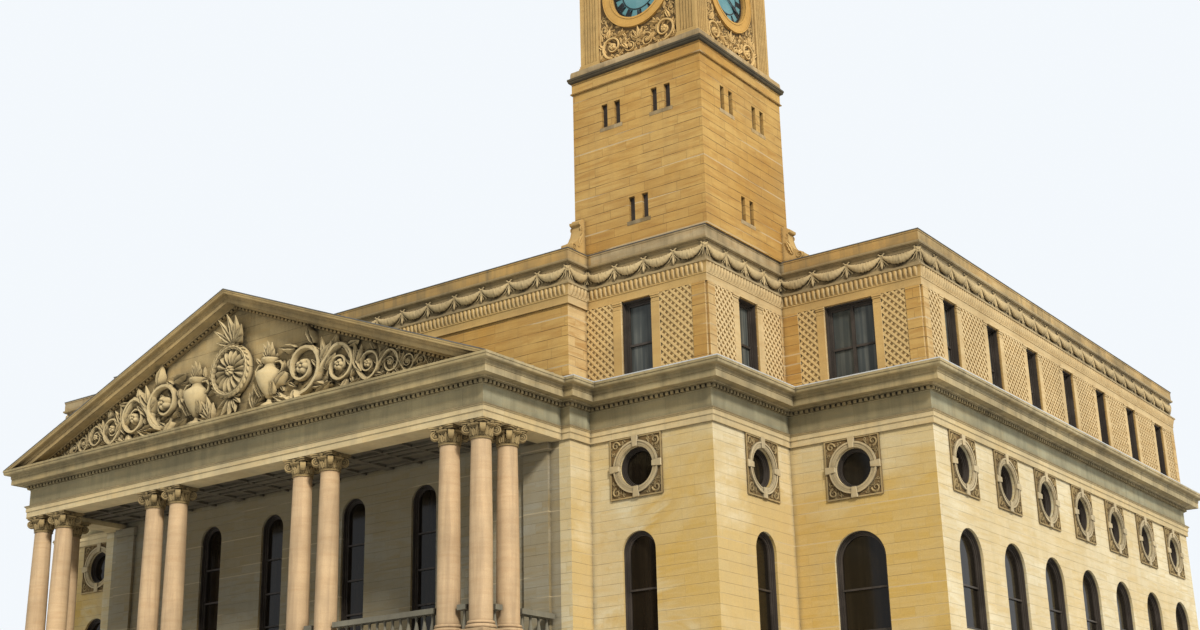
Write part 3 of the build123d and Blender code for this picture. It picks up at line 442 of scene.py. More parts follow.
def weathering():
    """Painted shade with dirt in the hollows, rain marks that run down, and broad stained patches.
    """
    tree, nodes, given, result = new_group(
        "weathering", {"Reach": 0.12, "Spread": 1.0}, ("Hollow Shade And Dirt", "Rain", "Patch", "Zone"))
    # Painted shade with dirt: ambient occlusion darkens the hollows, and noise breaks it up.
    shade = nodes.add("ShaderNodeAmbientOcclusion", {"Distance": given["Reach"]}, samples=6)
    breakup = nodes.noise(nodes.place(), 7.0, 4.0, 0.65)
    crevice = nodes.math("SUBTRACT", 1.0, shade.outputs["AO"])
    crevice = nodes.times(crevice, nodes.reach(breakup, 0.25, 0.7, 0.6, 1.25))
    nodes.feed(result["Hollow Shade And Dirt"], nodes.reach(crevice, 0.08, 0.75))
    rain = nodes.noise(nodes.place((5.0, 5.0, 0.32)), given["Spread"], 5.0, 0.65, 0.2)
    nodes.feed(result["Rain"], nodes.reach(rain, 0.46, 0.72))
    patch = nodes.noise(nodes.place(), nodes.times(given["Spread"], 0.7), 5.0, 0.6, 0.5)
    nodes.feed(result["Patch"], nodes.reach(patch, 0.42, 0.64))
    zone = nodes.noise(nodes.place((1, 1, 1.6)), nodes.times(given["Spread"], 0.33),
                       3.0, 0.55, 0.4)
    nodes.feed(result["Zone"], nodes.reach(zone, 0.43, 0.58))
    return tree


def stone_grain():
    """The feel of the surface: fine grains and small pits."""
    tree, nodes, given, result = new_group("stone grain", {"Size": 1.0}, ("Height", "Speck"))
    scale = nodes.math("DIVIDE", 60.0, given["Size"])
    grain = nodes.noise(nodes.place(), scale, 6.0, 0.7)
    pits = nodes.add("ShaderNodeTexVoronoi", {
        "Vector": nodes.place(), "Scale": nodes.math("DIVIDE", 34.0, given["Size"])})
    hollow = nodes.reach(pits.outputs["Distance"], 0.0, 0.22, -0.6, 0.0)
    nodes.feed(result["Height"], nodes.math("ADD", grain, hollow))
    nodes.feed(result["Speck"], nodes.reach(grain, 0.35, 0.7))
    return tree


def stone_batches():
    """Masks: golden batches, painted shade under the portico, the side walls that take painted
    sunlight, and the bay that carries the tower.
    """
    tree, nodes, given, result = new_group(
        "stone batches", {"Wander": 0.9}, ("Golden", "Portico Shade", "Side", "Tower"))
    spot = nodes.spot()
    facing = nodes.facing()
    away = nodes.math("ABSOLUTE", spot[0])
    drift = nodes.noise(nodes.place((0.5, 0.5, 1.1)), 1.0, 4.0, 0.6, 0.6)
    drift = nodes.times(nodes.reach(drift, 0.35, 0.65, -1.0, 1.0), given["Wander"])
    height = nodes.math("ADD", spot[2], drift)
    outward = nodes.math("ADD", away, drift)
    sideways = nodes.math("GREATER_THAN", nodes.math("ABSOLUTE", facing[0]), 0.5)
    before_main = nodes.math("LESS_THAN", spot[1], MAIN_Y)
    low = nodes.reach(height, 8.5, 6.7, 0.3, 1.0)
    corner = nodes.times(nodes.reach(outward, 6.8, 7.8), low)
    wing = nodes.times(nodes.reach(outward, 9.4, 10.4), low)
    wing = nodes.times(nodes.math("GREATER_THAN", away, BAY_HALF + 0.01),
                       nodes.math("MAXIMUM", wing, nodes.reach(spot[2], 7.2, 6.4)))
    front = nodes.times(nodes.math("LESS_THAN", facing[1], -0.5),
                        nodes.math("LESS_THAN", spot[1], MAIN_Y + 0.02))
    golden = nodes.times(front, nodes.math("MAXIMUM", corner, wing))
    bay = nodes.times(before_main, sideways, nodes.reach(height, 7.7, 6.2, 0.1, 0.75))
    faded = nodes.reach(height, 2.2, 4.6, 0.2, 1.0)
    nodes.feed(result["Golden"], nodes.times(nodes.math("MAXIMUM", golden, bay), faded))
    # Faces turned sideways; stones paint them paler as painted sunlight on the side walls.
    nodes.feed(result["Side"], nodes.times(
        sideways, nodes.math("LESS_THAN", spot[2], PARAPET_Z)))
    nodes.feed(result["Tower"], nodes.times(
        before_main, nodes.math("LESS_THAN", away, BAY_HALF + 0.15),
        nodes.math("GREATER_THAN", away, CENTRE_HALF + 0.15)))
    # Painted shade under the portico: the walls behind the columns, above the ground storey.
    nodes.feed(result["Portico Shade"], nodes.times(
        nodes.math("LESS_THAN", away, PORTICO_HALF - 0.045),
        nodes.math("LESS_THAN", spot[1], CENTRE_Y + 0.2),
        nodes.math("GREATER_THAN", spot[2], FLOOR_Z - 0.02)))
    return tree


COURSES = wall_courses()
BEDDING = stone_bedding()
WEATHERING = weathering()
GRAIN = stone_grain()
BATCHES = stone_batches()


def new_material(name):
    material = bpy.data.materials.new(name)
    material.use_nodes = True
    nodes = Nodes(material.node_tree)
    return material, nodes, material.node_tree.nodes["Principled BSDF"].inputs


def rgb(red, green, blue):
    return (red, green, blue, 1.0)


def stone(name, face, second, warm, stain_and_shade_colour, course=None, length=0.6, joint=0.006, seams=0.5,
          streaks=0.6, tones=0.55, zone=None, batches=False, painted_sunlit_side=None, on_tower=None,
          limed=0.0, rain=0.25, patches=0.35, hollow_shade_and_dirt=0.8, reach=0.12, depth=0.5, rough=0.86):
    """A sandstone: blocks of two tones, warm streaks, dirt and rain marks, painted shade with dirt
    in its hollows, painted sunlight on sideways faces and, with batches, painted shade under the
    portico.
    """
    material, nodes, finish = new_material(name)
    tone = 0.5
    if course:
        blocks = nodes.group(COURSES, course=course, length=length, joint=joint).outputs
        tone = blocks["Tone"]
    bedding = nodes.group(BEDDING, tone=tone, fineness=1.0).outputs
    weather = nodes.group(WEATHERING, reach=reach, spread=1.0).outputs
    grain = nodes.group(GRAIN, size=1.0).outputs
    batch = nodes.group(BATCHES, wander=0.9).outputs
    pick = nodes.times(nodes.math("ADD", bedding["Cloud"], tone), tones)
    colour = nodes.mix(pick, rgb(*face), rgb(*second))
    # Painted sunlight: faces turned sideways take a paler colour.
    if painted_sunlit_side:
        paler = nodes.mix(nodes.times(tone, 0.3), rgb(*painted_sunlit_side), rgb(*second))
        colour = nodes.mix(nodes.times(batch["Side"], 0.9), colour, paler)
    if zone:
        ochre = nodes.mix(nodes.times(tone, 0.15), rgb(*zone), rgb(*second))
        if batches:
            mask = nodes.math("MAXIMUM", batch["Golden"], nodes.times(weather["Zone"], 0.35))
        else:
            off_side = nodes.math("SUBTRACT", 1.0, nodes.times(batch["Side"], 0.8))
            mask = nodes.times(weather["Zone"], off_side)
        colour = nodes.mix(mask, colour, ochre)
    if on_tower:
        colour = nodes.mix(nodes.times(batch["Tower"], 0.9), colour, rgb(*on_tower))
    colour = nodes.mix(nodes.times(bedding["Streak"], streaks), colour, rgb(*warm))
    speck = nodes.reach(grain["Speck"], 0.0, 1.0, 0.9, 1.08)
    speckled = nodes.add("ShaderNodeCombineColor", {0: speck, 1: speck, 2: speck}).outputs[0]
    colour = nodes.mix(1.0, colour, speckled, "MULTIPLY")
    grimy = rgb(*stain_and_shade_colour)
    # Painted shade with dirt: this dark colour fills the hollows, and it also darkens the joints.
    dark = rgb(*[0.35 * value for value in stain_and_shade_colour])
    for mask, share, stain_and_shade in ((weather["Patch"], patches, grimy), (weather["Rain"], rain, grimy),
                               (weather["Hollow Shade And Dirt"], hollow_shade_and_dirt, dark)):
        colour = nodes.mix(nodes.times(mask, share), colour, stain_and_shade)
    # Painted shade under the portico: the walls there are darkened with a bluish tint.
    if batches:
        portico_shade = nodes.mix(1.0, colour, rgb(0.50, 0.52, 0.58), "MULTIPLY")
        colour = nodes.mix(batch["Portico Shade"], colour, portico_shade)
    height = nodes.times(grain["Height"], 0.25)
    if course:
        worn = nodes.noise(nodes.place(), 2.3, 3.0)
        seam = nodes.times(blocks["Joint"],
                           nodes.reach(worn, 0.35, 0.65, 0.3 * seams, 1.3 * seams))
        colour = nodes.mix(seam, colour, dark)
        lime = nodes.reach(nodes.noise(nodes.place((0.3, 0.3, 5.3)), 1.0, 2.0), 0.585, 0.615)
        colour = nodes.mix(nodes.times(lime, blocks["Bed"], limed), colour, rgb(*LIME))
        height = nodes.math("SUBTRACT", height, blocks["Joint"])
        height = nodes.math("ADD", height, nodes.times(tone, 0.2))
    bump = nodes.add("ShaderNodeBump", {"Strength": depth, "Distance": 0.008, "Height": height})
    nodes.feed(finish["Base Color"], colour)
    nodes.feed(finish["Normal"], bump.outputs[0])
    finish["Roughness"].default_value = rough
    finish["Specular IOR Level"].default_value = 0.25
    return material


def painted(name, colour, worn, rough=0.5, metallic=0.0):
    """Paint or metal with worn and dusty patches, and painted shade with dirt in its hollows."""
    material, nodes, finish = new_material(name)
    weather = nodes.group(WEATHERING, reach=0.05, spread=2.5).outputs
    grain = nodes.group(GRAIN, size=0.6).outputs
    mixed = nodes.mix(nodes.times(weather["Patch"], 0.6), rgb(*colour), rgb(*worn))
    mixed = nodes.mix(nodes.times(weather["Rain"], 0.35), mixed, rgb(*worn))
    # Painted shade with dirt: the hollows are darkened towards a dark version of the paint.
    dark = rgb(*[0.4 * value for value in colour])
    mixed = nodes.mix(nodes.times(weather["Hollow Shade And Dirt"], 0.7), mixed, dark)
    nodes.feed(finish["Base Color"], mixed)
    uneven = nodes.reach(grain["Speck"], 0.0, 1.0, rough - 0.1, rough + 0.15)
    nodes.feed(finish["Roughness"], uneven)
    bump = nodes.add("ShaderNodeBump", {"Strength": 0.15, "Distance": 0.004,
                                        "Height": grain["Height"]})
    nodes.feed(finish["Normal"], bump.outputs[0])
    finish["Metallic"].default_value = metallic
    finish["Specular IOR Level"].default_value = 0.25
    return material


def dark_glass(name, colour, curtain_and_reflection, curtain_and_reflection_share):
    """A pane with a dark room behind it and lighter folds across it: curtains on the lower windows,
    a painted reflection on the attic windows.
    """
    material, nodes, finish = new_material(name)
    folds = nodes.noise(nodes.place((7.0, 7.0, 0.25)), 1.6, 3.0, 0.55)
    broad = nodes.reach(nodes.noise(nodes.place((0.5, 0.5, 0.8)), 1.3), 0.4, 0.62, 0.25, 1.0)
    # Lighter folds: curtains, and on the attic panes a painted reflection.
    hung = nodes.times(nodes.reach(folds, 0.42, 0.62), curtain_and_reflection_share, broad)
    mixed = nodes.mix(hung, rgb(*colour), rgb(*curtain_and_reflection))
    nodes.feed(finish["Base Color"], mixed)
    finish["Specular IOR Level"].default_value = 0.2
    dust = nodes.noise(nodes.place((1.0, 1.0, 0.6)), 3.0, 5.0, 0.6)
    nodes.feed(finish["Roughness"], nodes.reach(dust, 0.3, 0.75, 0.04, 0.16))
    wave = nodes.add("ShaderNodeBump", {"Strength": 0.06, "Distance": 0.01,
                                        "Height": nodes.noise(nodes.place(), 1.8, 1.0)})
    nodes.feed(finish["Normal"], wave.outputs[0])
    return material


LIME = (0.62, 0.50, 0.31)
# With batches these walls take golden batches and the painted shade under the portico.
PALE_STONE = stone("lower walls sandstone", (0.60, 0.535, 0.36), (0.555, 0.47, 0.285),
                   (0.52, 0.365, 0.14), (0.34, 0.28, 0.17), zone=(0.47, 0.30, 0.072),
                   batches=True, painted_sunlit_side=(0.675, 0.585, 0.395), course=0.187, length=0.66,
                   joint=0.0055, seams=0.45, streaks=0.55, limed=0.4, rain=0.18, patches=0.16)
PALE_BLOCK = stone("architrave sandstone", (0.60, 0.48, 0.27), (0.53, 0.405, 0.205),
                   (0.50, 0.34, 0.14), (0.28, 0.23, 0.14), course=7.9, length=1.15, joint=0.006,
                   seams=0.4, streaks=0.5, rain=0.4, patches=0.4, hollow_shade_and_dirt=0.95, reach=0.08)
GOLDEN_STONE = stone("golden sandstone", (0.475, 0.278, 0.074), (0.41, 0.225, 0.052),
                     (0.33, 0.16, 0.034), (0.24, 0.15, 0.06), zone=(0.51, 0.32, 0.10),
                     painted_sunlit_side=(0.60, 0.445, 0.225), course=0.187, length=0.78, joint=0.0065,
                     seams=1.0, streaks=0.65, tones=0.8, limed=0.5, rain=0.22, patches=0.22)
GREY_STONE = stone("grey entablature sandstone", (0.335, 0.28, 0.155), (0.28, 0.23, 0.12),
                   (0.38, 0.285, 0.135), (0.13, 0.11, 0.065), painted_sunlit_side=(0.35, 0.335, 0.225),
                   course=7.9, length=1.15, joint=0.007, streaks=0.4, rain=0.45, patches=0.45)
CORNICE_STONE = stone("weathered cornice stone", (0.38, 0.30, 0.155), (0.29, 0.225, 0.11),
                      (0.42, 0.295, 0.125), (0.11, 0.088, 0.048), painted_sunlit_side=(0.47, 0.385, 0.225),
                      streaks=0.5, rain=0.55, patches=0.55, hollow_shade_and_dirt=1.0, reach=0.13)
RAKING_STONE = stone("raking cornice stone", (0.48, 0.345, 0.155), (0.37, 0.26, 0.11),
                     (0.46, 0.305, 0.115), (0.12, 0.09, 0.045), streaks=0.55, rain=0.4,
                     patches=0.5, hollow_shade_and_dirt=0.95, reach=0.16)
# A wide reach spreads the painted shade over the field round the relief.
FIELD_STONE = stone("pediment field stone", (0.49, 0.365, 0.175), (0.42, 0.305, 0.135),
                    (0.46, 0.30, 0.11), (0.13, 0.105, 0.06), course=0.30, length=0.9,
                    joint=0.006, seams=0.5, streaks=0.45, rain=0.35, patches=0.4,
                    hollow_shade_and_dirt=1.0, reach=0.34)
SOFFIT_STONE = stone("shaded ceiling stone", (0.17, 0.145, 0.10), (0.14, 0.118, 0.08),
                     (0.19, 0.145, 0.08), (0.07, 0.06, 0.04), streaks=0.3, rain=0.1,
                     patches=0.5)
# A very dark stone for the ovolo moulding of the tower shaft cornice.
DARK_OVOLO_STONE = stone("dark ovolo stone", (0.085, 0.068, 0.038), (0.058, 0.047, 0.028),
                    (0.15, 0.105, 0.05), (0.03, 0.025, 0.016), streaks=0.4, rain=0.5,
                    patches=0.6, hollow_shade_and_dirt=0.8, reach=0.1)
PIT_STONE = stone("shaded recess stone", (0.20, 0.125, 0.048), (0.15, 0.092, 0.035),
                  (0.24, 0.14, 0.05), (0.06, 0.042, 0.02), streaks=0.3, rain=0.3,
                  patches=0.5, hollow_shade_and_dirt=0.8, reach=0.06)
# Darker stone for the ledge between architrave and frieze: a painted shadow line.
SHADED_LEDGE_STONE = stone("ledge stone with painted shade", (0.34, 0.26, 0.14), (0.27, 0.205, 0.105),
                      (0.36, 0.24, 0.10), (0.10, 0.078, 0.042), streaks=0.3, rain=0.3,
                      patches=0.45, hollow_shade_and_dirt=1.0, reach=0.07)
CAPITAL_STONE = stone("capital stone", (0.41, 0.30, 0.14), (0.33, 0.235, 0.102),
                      (0.36, 0.235, 0.09), (0.085, 0.062, 0.032), streaks=0.3, rain=0.3,
                      patches=0.45, hollow_shade_and_dirt=1.0, reach=0.09)
CARVED_STONE = stone("carved stone", (0.56, 0.425, 0.225), (0.47, 0.35, 0.175),
                     (0.48, 0.32, 0.125), (0.17, 0.13, 0.07), streaks=0.3, rain=0.35,
                     patches=0.45, hollow_shade_and_dirt=1.0, reach=0.08)
GARLAND_GROUND = stone("garland frieze stone", (0.37, 0.27, 0.13), (0.29, 0.21, 0.10),
                       (0.40, 0.265, 0.10), (0.11, 0.085, 0.05), painted_sunlit_side=(0.45, 0.35, 0.195),
                       streaks=0.35, rain=0.4, patches=0.5, hollow_shade_and_dirt=1.0, reach=0.1)
GOLDEN_CARVING = stone("golden carved stone", (0.53, 0.35, 0.135), (0.475, 0.30, 0.10),
                       (0.42, 0.24, 0.075), (0.21, 0.14, 0.06), painted_sunlit_side=(0.62, 0.475, 0.26),
                       streaks=0.35, rain=0.2, patches=0.3, hollow_shade_and_dirt=1.0, reach=0.08)
CLOCK_CARVING = stone("clock stage carving", (0.66, 0.45, 0.19), (0.58, 0.38, 0.145),
                      (0.50, 0.30, 0.095), (0.20, 0.13, 0.055), streaks=0.35, rain=0.15,
                      patches=0.25, hollow_shade_and_dirt=0.6, reach=0.035)
CLOCK_RING = stone("clock ring stone", (0.57, 0.33, 0.09), (0.50, 0.28, 0.068),
                   (0.46, 0.235, 0.045), (0.26, 0.155, 0.055), streaks=0.4, rain=0.2,
                   patches=0.25, reach=0.06)
PLINTH_STONE = stone("mottled plinth stone", (0.46, 0.305, 0.12), (0.44, 0.325, 0.175),
                     (0.36, 0.21, 0.07), (0.10, 0.075, 0.04), course=7.9, length=0.55,
                     joint=0.006, streaks=0.5, tones=0.9, rain=0.6, patches=0.75, reach=0.1)
LATTICE_STONE = stone("lattice stone", (0.60, 0.425, 0.185), (0.53, 0.36, 0.145),
                      (0.47, 0.30, 0.11), (0.25, 0.175, 0.085), painted_sunlit_side=(0.68, 0.52, 0.29),
                      streaks=0.35, rain=0.15, patches=0.2, hollow_shade_and_dirt=0.3, reach=0.04)
LATTICE_GROUND = stone("lattice ground", (0.50, 0.345, 0.145), (0.44, 0.295, 0.12),
                       (0.40, 0.25, 0.085), (0.22, 0.155, 0.075), painted_sunlit_side=(0.56, 0.42, 0.215),
                       streaks=0.35, rain=0.2, patches=0.25, hollow_shade_and_dirt=0.35, reach=0.03)
RELIEF_STONE = stone("relief stone", (0.64, 0.51, 0.285), (0.56, 0.435, 0.225),
                     (0.55, 0.385, 0.16), (0.16, 0.125, 0.07), streaks=0.35, rain=0.25,
                     patches=0.35, hollow_shade_and_dirt=1.0, reach=0.12)
RING_STONE = stone("round window stone", (0.47, 0.375, 0.22), (0.41, 0.315, 0.17),
                   (0.42, 0.29, 0.125), (0.20, 0.165, 0.10), painted_sunlit_side=(0.56, 0.46, 0.29),
                   streaks=0.4, rain=0.45, patches=0.45, hollow_shade_and_dirt=0.95, reach=0.06)
PARAPET_STONE = stone("parapet stone", (0.46, 0.285, 0.095), (0.40, 0.24, 0.075),
                      (0.36, 0.20, 0.06), (0.15, 0.115, 0.06), painted_sunlit_side=(0.52, 0.37, 0.17),
                      on_tower=(0.42, 0.325, 0.185), course=7.9, length=1.1, streaks=0.5,
                      rain=0.75, patches=0.65)
COLUMN_STONE = stone("column stone", (0.575, 0.405, 0.232), (0.49, 0.338, 0.186),
                     (0.43, 0.265, 0.128), (0.21, 0.145, 0.083), streaks=0.45, rain=0.6,
                     patches=0.35, reach=0.2, depth=0.25, rough=0.75)
RAIL_STONE = stone("balustrade stone", (0.20, 0.185, 0.135), (0.16, 0.145, 0.105),
                   (0.23, 0.185, 0.11), (0.07, 0.065, 0.05), streaks=0.3, rain=0.45, patches=0.5)
SLAB = stone("floor slab", (0.42, 0.38, 0.31), (0.36, 0.33, 0.27), (0.40, 0.34, 0.25),
             (0.20, 0.18, 0.15), course=0.9, length=0.9, joint=0.008, streaks=0.2)
STEP_STONE = stone("step stone", (0.48, 0.44, 0.36), (0.42, 0.38, 0.31), (0.44, 0.37, 0.26),
                   (0.22, 0.20, 0.16), course=2.0, length=1.6, streaks=0.3)
LEAD = painted("lead flashing", (0.095, 0.095, 0.09), (0.19, 0.19, 0.175), 0.55, 0.3)
# Painted highlight: a pale grey cap that stands for the bright line along the top of the main
# cornice.
HIGHLIGHT_FLASHING = painted("flashing with painted highlight", (0.45, 0.46, 0.45), (0.60, 0.60, 0.57), 0.5, 0.15)
ROOF_METAL = painted("roof metal", (0.27, 0.29, 0.275), (0.38, 0.40, 0.37), 0.5, 0.2)
FRAME_PAINT = painted("dark window paint", (0.035, 0.028, 0.022), (0.075, 0.06, 0.048), 0.42)
DOOR_WOOD = painted("door wood", (0.10, 0.05, 0.025), (0.15, 0.085, 0.045), 0.4)
DIAL = painted("dial enamel", (0.09, 0.22, 0.235), (0.15, 0.28, 0.29), 0.35)
IRON = painted("dark iron", (0.022, 0.024, 0.026), (0.06, 0.06, 0.058), 0.45, 0.5)
GLASS = dark_glass("window glass", (0.008, 0.006, 0.004), (0.032, 0.023, 0.013), 0.3)
# Painted reflection: the attic panes are a lighter grey and take more of the lighter folds.
ATTIC_GLASS = dark_glass("attic window glass", (0.045, 0.05, 0.046), (0.20, 0.195, 0.16), 0.55)

NODE_FINISHES = {
    PALE_STONE: ["side_walls", "back_wall", "front_walls", "vestibule_piers",
                 "portico_base_front", "portico_base_sides", "portico_antae"],
    GOLDEN_STONE: ["side_attic_walls", "back_attic_wall", "front_attic_walls",
                   "tower_base_walls", "tower_front_and_back_walls", "tower_side_walls",
                   "tower_inner_piers", "clock_stage_sides", "clock_stage_front_and_back"],
    FIELD_STONE: ["tympanum"],
    SOFFIT_STONE: ["portico_ceiling"],
    COLUMN_STONE: ["column_shafts", "column_bases"],
    RAIL_STONE: ["portico_balustrades"],
    SLAB: ["ground_floor", "main_floor", "attic_floor"],
    STEP_STONE: ["entrance_steps", "portico_floor"],
    ROOF_METAL: ["main_roof", "portico_roof", "tower_roof", "tower_finial"],
    GLASS: ["ground_storey_glass", "main_storey_glass"],
    ATTIC_GLASS: ["attic_storey_glass"],
    DOOR_WOOD: ["entrance_doors"],
    DIAL: ["clock_dials"],
}


def dress_nodes():
    """Give each solid of the frame its finish."""
    for material, names in NODE_FINISHES.items():
        for name in names:
            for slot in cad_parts[name].material_slots:
                slot.material = material


# Plan outlines, walked clockwise from the back right corner as seen from above
def stepped_plan(portico=False):
    right = [(MAIN_HALF, BACK_Y), (MAIN_HALF, MAIN_Y), (BAY_HALF, MAIN_Y), (BAY_HALF, BAY_Y),
             (CENTRE_HALF, BAY_Y), (CENTRE_HALF, CENTRE_Y)]
    if portico:
        right += [(PORTICO_HALF, CENTRE_Y), (PORTICO_HALF, PORTICO_Y)]
    return right + [(-x, y) for x, y in reversed(right)]


def tower_square(half):
    return [(TOWER_X + x * half, TOWER_Y + y * half)
            for x, y in ((1, 1), (1, -1), (-1, -1), (-1, 1))]


def mitres(corners):
    """For each corner, how it moves as the line steps outward."""
    result = []
    count = len(corners)
    for i in range(count):
        here = Vector(corners[i])
        before = (here - Vector(corners[i - 1])).normalized()
        after = (Vector(corners[(i + 1) % count]) - here).normalized()
        normals = [Vector((-way.y, way.x)) for way in (before, after)]
        result.append((normals[0] + normals[1]) / (1 + normals[0].dot(normals[1])))
    return result


def moulding(profile, corners):
    """A moulding with the profile (out, height) run round a closed plan, mitred at its corners."""
    rows = []
    for corner, mitre in zip(corners, mitres(corners)):
        row = []
        for out, height in profile:
            spot = Vector(corner) + mitre * out
            row.append((spot.x, spot.y, height))
        rows.append(row)
    rows.append(rows[0])
    return surface(rows, around=True)


def stretches(corners, out):
    """Each straight stretch of a plan at some step outward: its ends and its outward way."""
    shifted = [Vector(corner) + mitre * out for corner, mitre in zip(corners, mitres(corners))]
    result = []
    for i, start in enumerate(shifted):
        end = shifted[(i + 1) % len(shifted)]
        way = (end - start).normalized()
        result.append((start, end, Vector((-way.y, way.x, 0))))
    return result


def along_plan(piece, corners, out, height, pitch):
    """Copies of a piece set evenly along every stretch of a plan."""
    places = []
    for start, end, facing in stretches(corners, out):
        count = max(1, round((end - start).length / pitch))
        for i in range(count):
            spot = start.lerp(end, (i + 0.5) / count)
            places.append(on_wall(spot.x, spot.y, height, facing))
    return repeated(piece, places)


def moulded(name, profile, base, corners, material, stands_for=()):
    """Show a moulding whose profile heights are measured from a base level."""
    lifted = [(out, base + rise) for out, rise in profile]
    show(name, moulding(lifted, corners), material, stands_for=stands_for)


def curve_between(start, end, bulge, steps=5, ogee=False):
    """Points from start to end that swell outward, or swing in an S."""
    points = []
    for i in range(steps + 1):
        t = i / steps
        swell = math.sin(math.tau * t) if ogee else math.sin(math.pi * t)
        across = (end[1] - start[1], start[0] - end[0])
        points.append((start[0] + (end[0] - start[0]) * t + across[0] * bulge * swell,
                       start[1] + (end[1] - start[1]) * t + across[1] * bulge * swell))
    return points


# Main entablature, heights above its underside
DENTIL_PITCH = 0.108


def entablature():
    plan = stepped_plan(portico=True)
    base = ENTABLATURE_Z
    lower = [(-WALL, 0), (0.040, 0), (0.040, 0.104), (0.047, 0.106), (0.050, 0.114),
             (0.056, 0.116), (0.056, 0.196)]
    lower += curve_between((0.056, 0.200), (0.072, 0.214), 0.3, 3)
    lower += [(0.078, 0.216), (0.078, 0.222), (-WALL, 0.222)]
    frieze = [(-WALL, 0.222), (0.082, 0.222), (0.082, 0.236), (0.012, 0.250), (0.012, 0.548)]
    frieze += curve_between((0.014, 0.552), (0.036, 0.586), -0.25, 4)
    frieze += [(0.036, 0.59), (-WALL, 0.59)]
    upper = [(-WALL, 0.59), (0.034, 0.59), (0.034, 0.655), (0.098, 0.657), (0.098, 0.668)]
    upper += curve_between((0.100, 0.670), (0.136, 0.694), 0.3, 4)
    upper += [(0.284, 0.697), (0.286, 0.688), (0.300, 0.688), (0.300, 0.806),
              (0.310, 0.810), (0.310, 0.824)]
    upper += curve_between((0.312, 0.828), (0.424, 0.948), -0.16, 9, ogee=True)
    upper += [(0.435, 0.952), (0.435, 0.995), (-WALL, 0.995)]
    ledge = [(0.060, 0.224), (0.086, 0.224), (0.086, 0.237), (0.060, 0.240)]
    cap = [(0.0, 0.996), (0.434, 0.996), (0.434, 1.014), (0.30, 1.020), (0.0, 1.030)]
    moulded("architrave", lower, base, plan, PALE_BLOCK)
    moulded("main_frieze", frieze, base, plan, GREY_STONE,
            ("back_entablature", "side_entablatures", "front_entablatures",
             "portico_front_entablature", "portico_side_entablatures"))
    moulded("main_cornice", upper, base, plan, CORNICE_STONE)
    # The ledge is darkened as a painted shadow line.
    moulded("architrave_ledge", ledge, base, plan, SHADED_LEDGE_STONE)
    # The pale cap paints a highlight along the cornice top.
    moulded("cornice_flashing", cap, base, stepped_plan(), HIGHLIGHT_FLASHING)
    dentil = eased(-0.032, 0.032, 0.596, 0.654, -0.03, 0.028, 0.004)
    show("main_dentils", along_plan(dentil, plan, 0.062, base, DENTIL_PITCH), CORNICE_STONE,
         35)


# Attic frieze and parapet
FRIEZE_OUT = 0.022
TONGUE_LOW = 0.172
TONGUE_HIGH = 0.350


def tongue_out(t):
    return 0.044 + 0.036 * t ** 1.5


def tongue():
    """One leaf of the band under the garlands."""
    rows = []
    for i in range(6):
        t = i / 5
        wide = 0.046 * math.sin(math.pi * min(1.0, 0.16 + 0.5 * t) ** 0.9)
        row = []
        for j in range(5):
            s = j / 2 - 1
            bulge = 0.042 * math.sqrt(max(0.0, 1 - s * s)) * math.sin(math.pi * (0.10 + 0.78 * t))
            row.append((s * wide, TONGUE_LOW + (TONGUE_HIGH - TONGUE_LOW) * t,
                        tongue_out(t) + bulge - 0.004))
        rows.append(row)
    return surface(rows)


def attic_frieze():
    plan = stepped_plan()
    base = ATTIC_FRIEZE_Z
    lower = [(-WALL, 0), (0.035, 0), (0.035, 0.142)]
    lower += curve_between((0.036, 0.144), (0.048, 0.160), 0.25, 3)
    lower += [(0.048, 0.168)]
    for i in range(6):
        t = i / 5
        lower.append((tongue_out(t), TONGUE_LOW + (TONGUE_HIGH - TONGUE_LOW) * t))
    lower += [(0.098, 0.354), (-WALL, 0.354)]
    middle = [(-WALL, 0.354), (0.100, 0.354), (0.100, 0.388), (0.086, 0.394)]
    middle += curve_between((0.084, 0.396), (0.030, 0.442), -0.2, 4)
    middle += [(FRIEZE_OUT, 0.450), (FRIEZE_OUT, 0.742)]
    middle += curve_between((0.026, 0.746), (0.062, 0.774), -0.25, 4)
    middle += [(0.066, 0.778), (0.066, 0.786)]
    middle += curve_between((0.068, 0.788), (0.095, 0.806), 0.3, 3)
    middle += [(0.098, 0.808), (0.098, 0.830), (0.072, 0.840), (-WALL, 0.840)]
    top = [(-WALL, 0.840), (0.070, 0.840), (0.070, 1.006), (0.078, 1.010), (0.078, 1.043),
           (-WALL, 1.043)]
    cap = [(-WALL, 1.043), (0.088, 1.043), (0.088, 1.055), (-WALL, 1.055)]
    moulded("attic_fascia", lower, base, plan, GOLDEN_CARVING,
            ("back_attic_frieze", "side_attic_friezes", "front_attic_friezes"))
    moulded("garland_frieze", middle, base, plan, GARLAND_GROUND)
    moulded("parapet", top, base, plan, PARAPET_STONE)
    moulded("parapet_flashing", cap, base, plan, LEAD)
    show("leaf_and_tongue_band", along_plan(tongue(), plan, 0.0, base, 0.098), GOLDEN_CARVING,
         60)


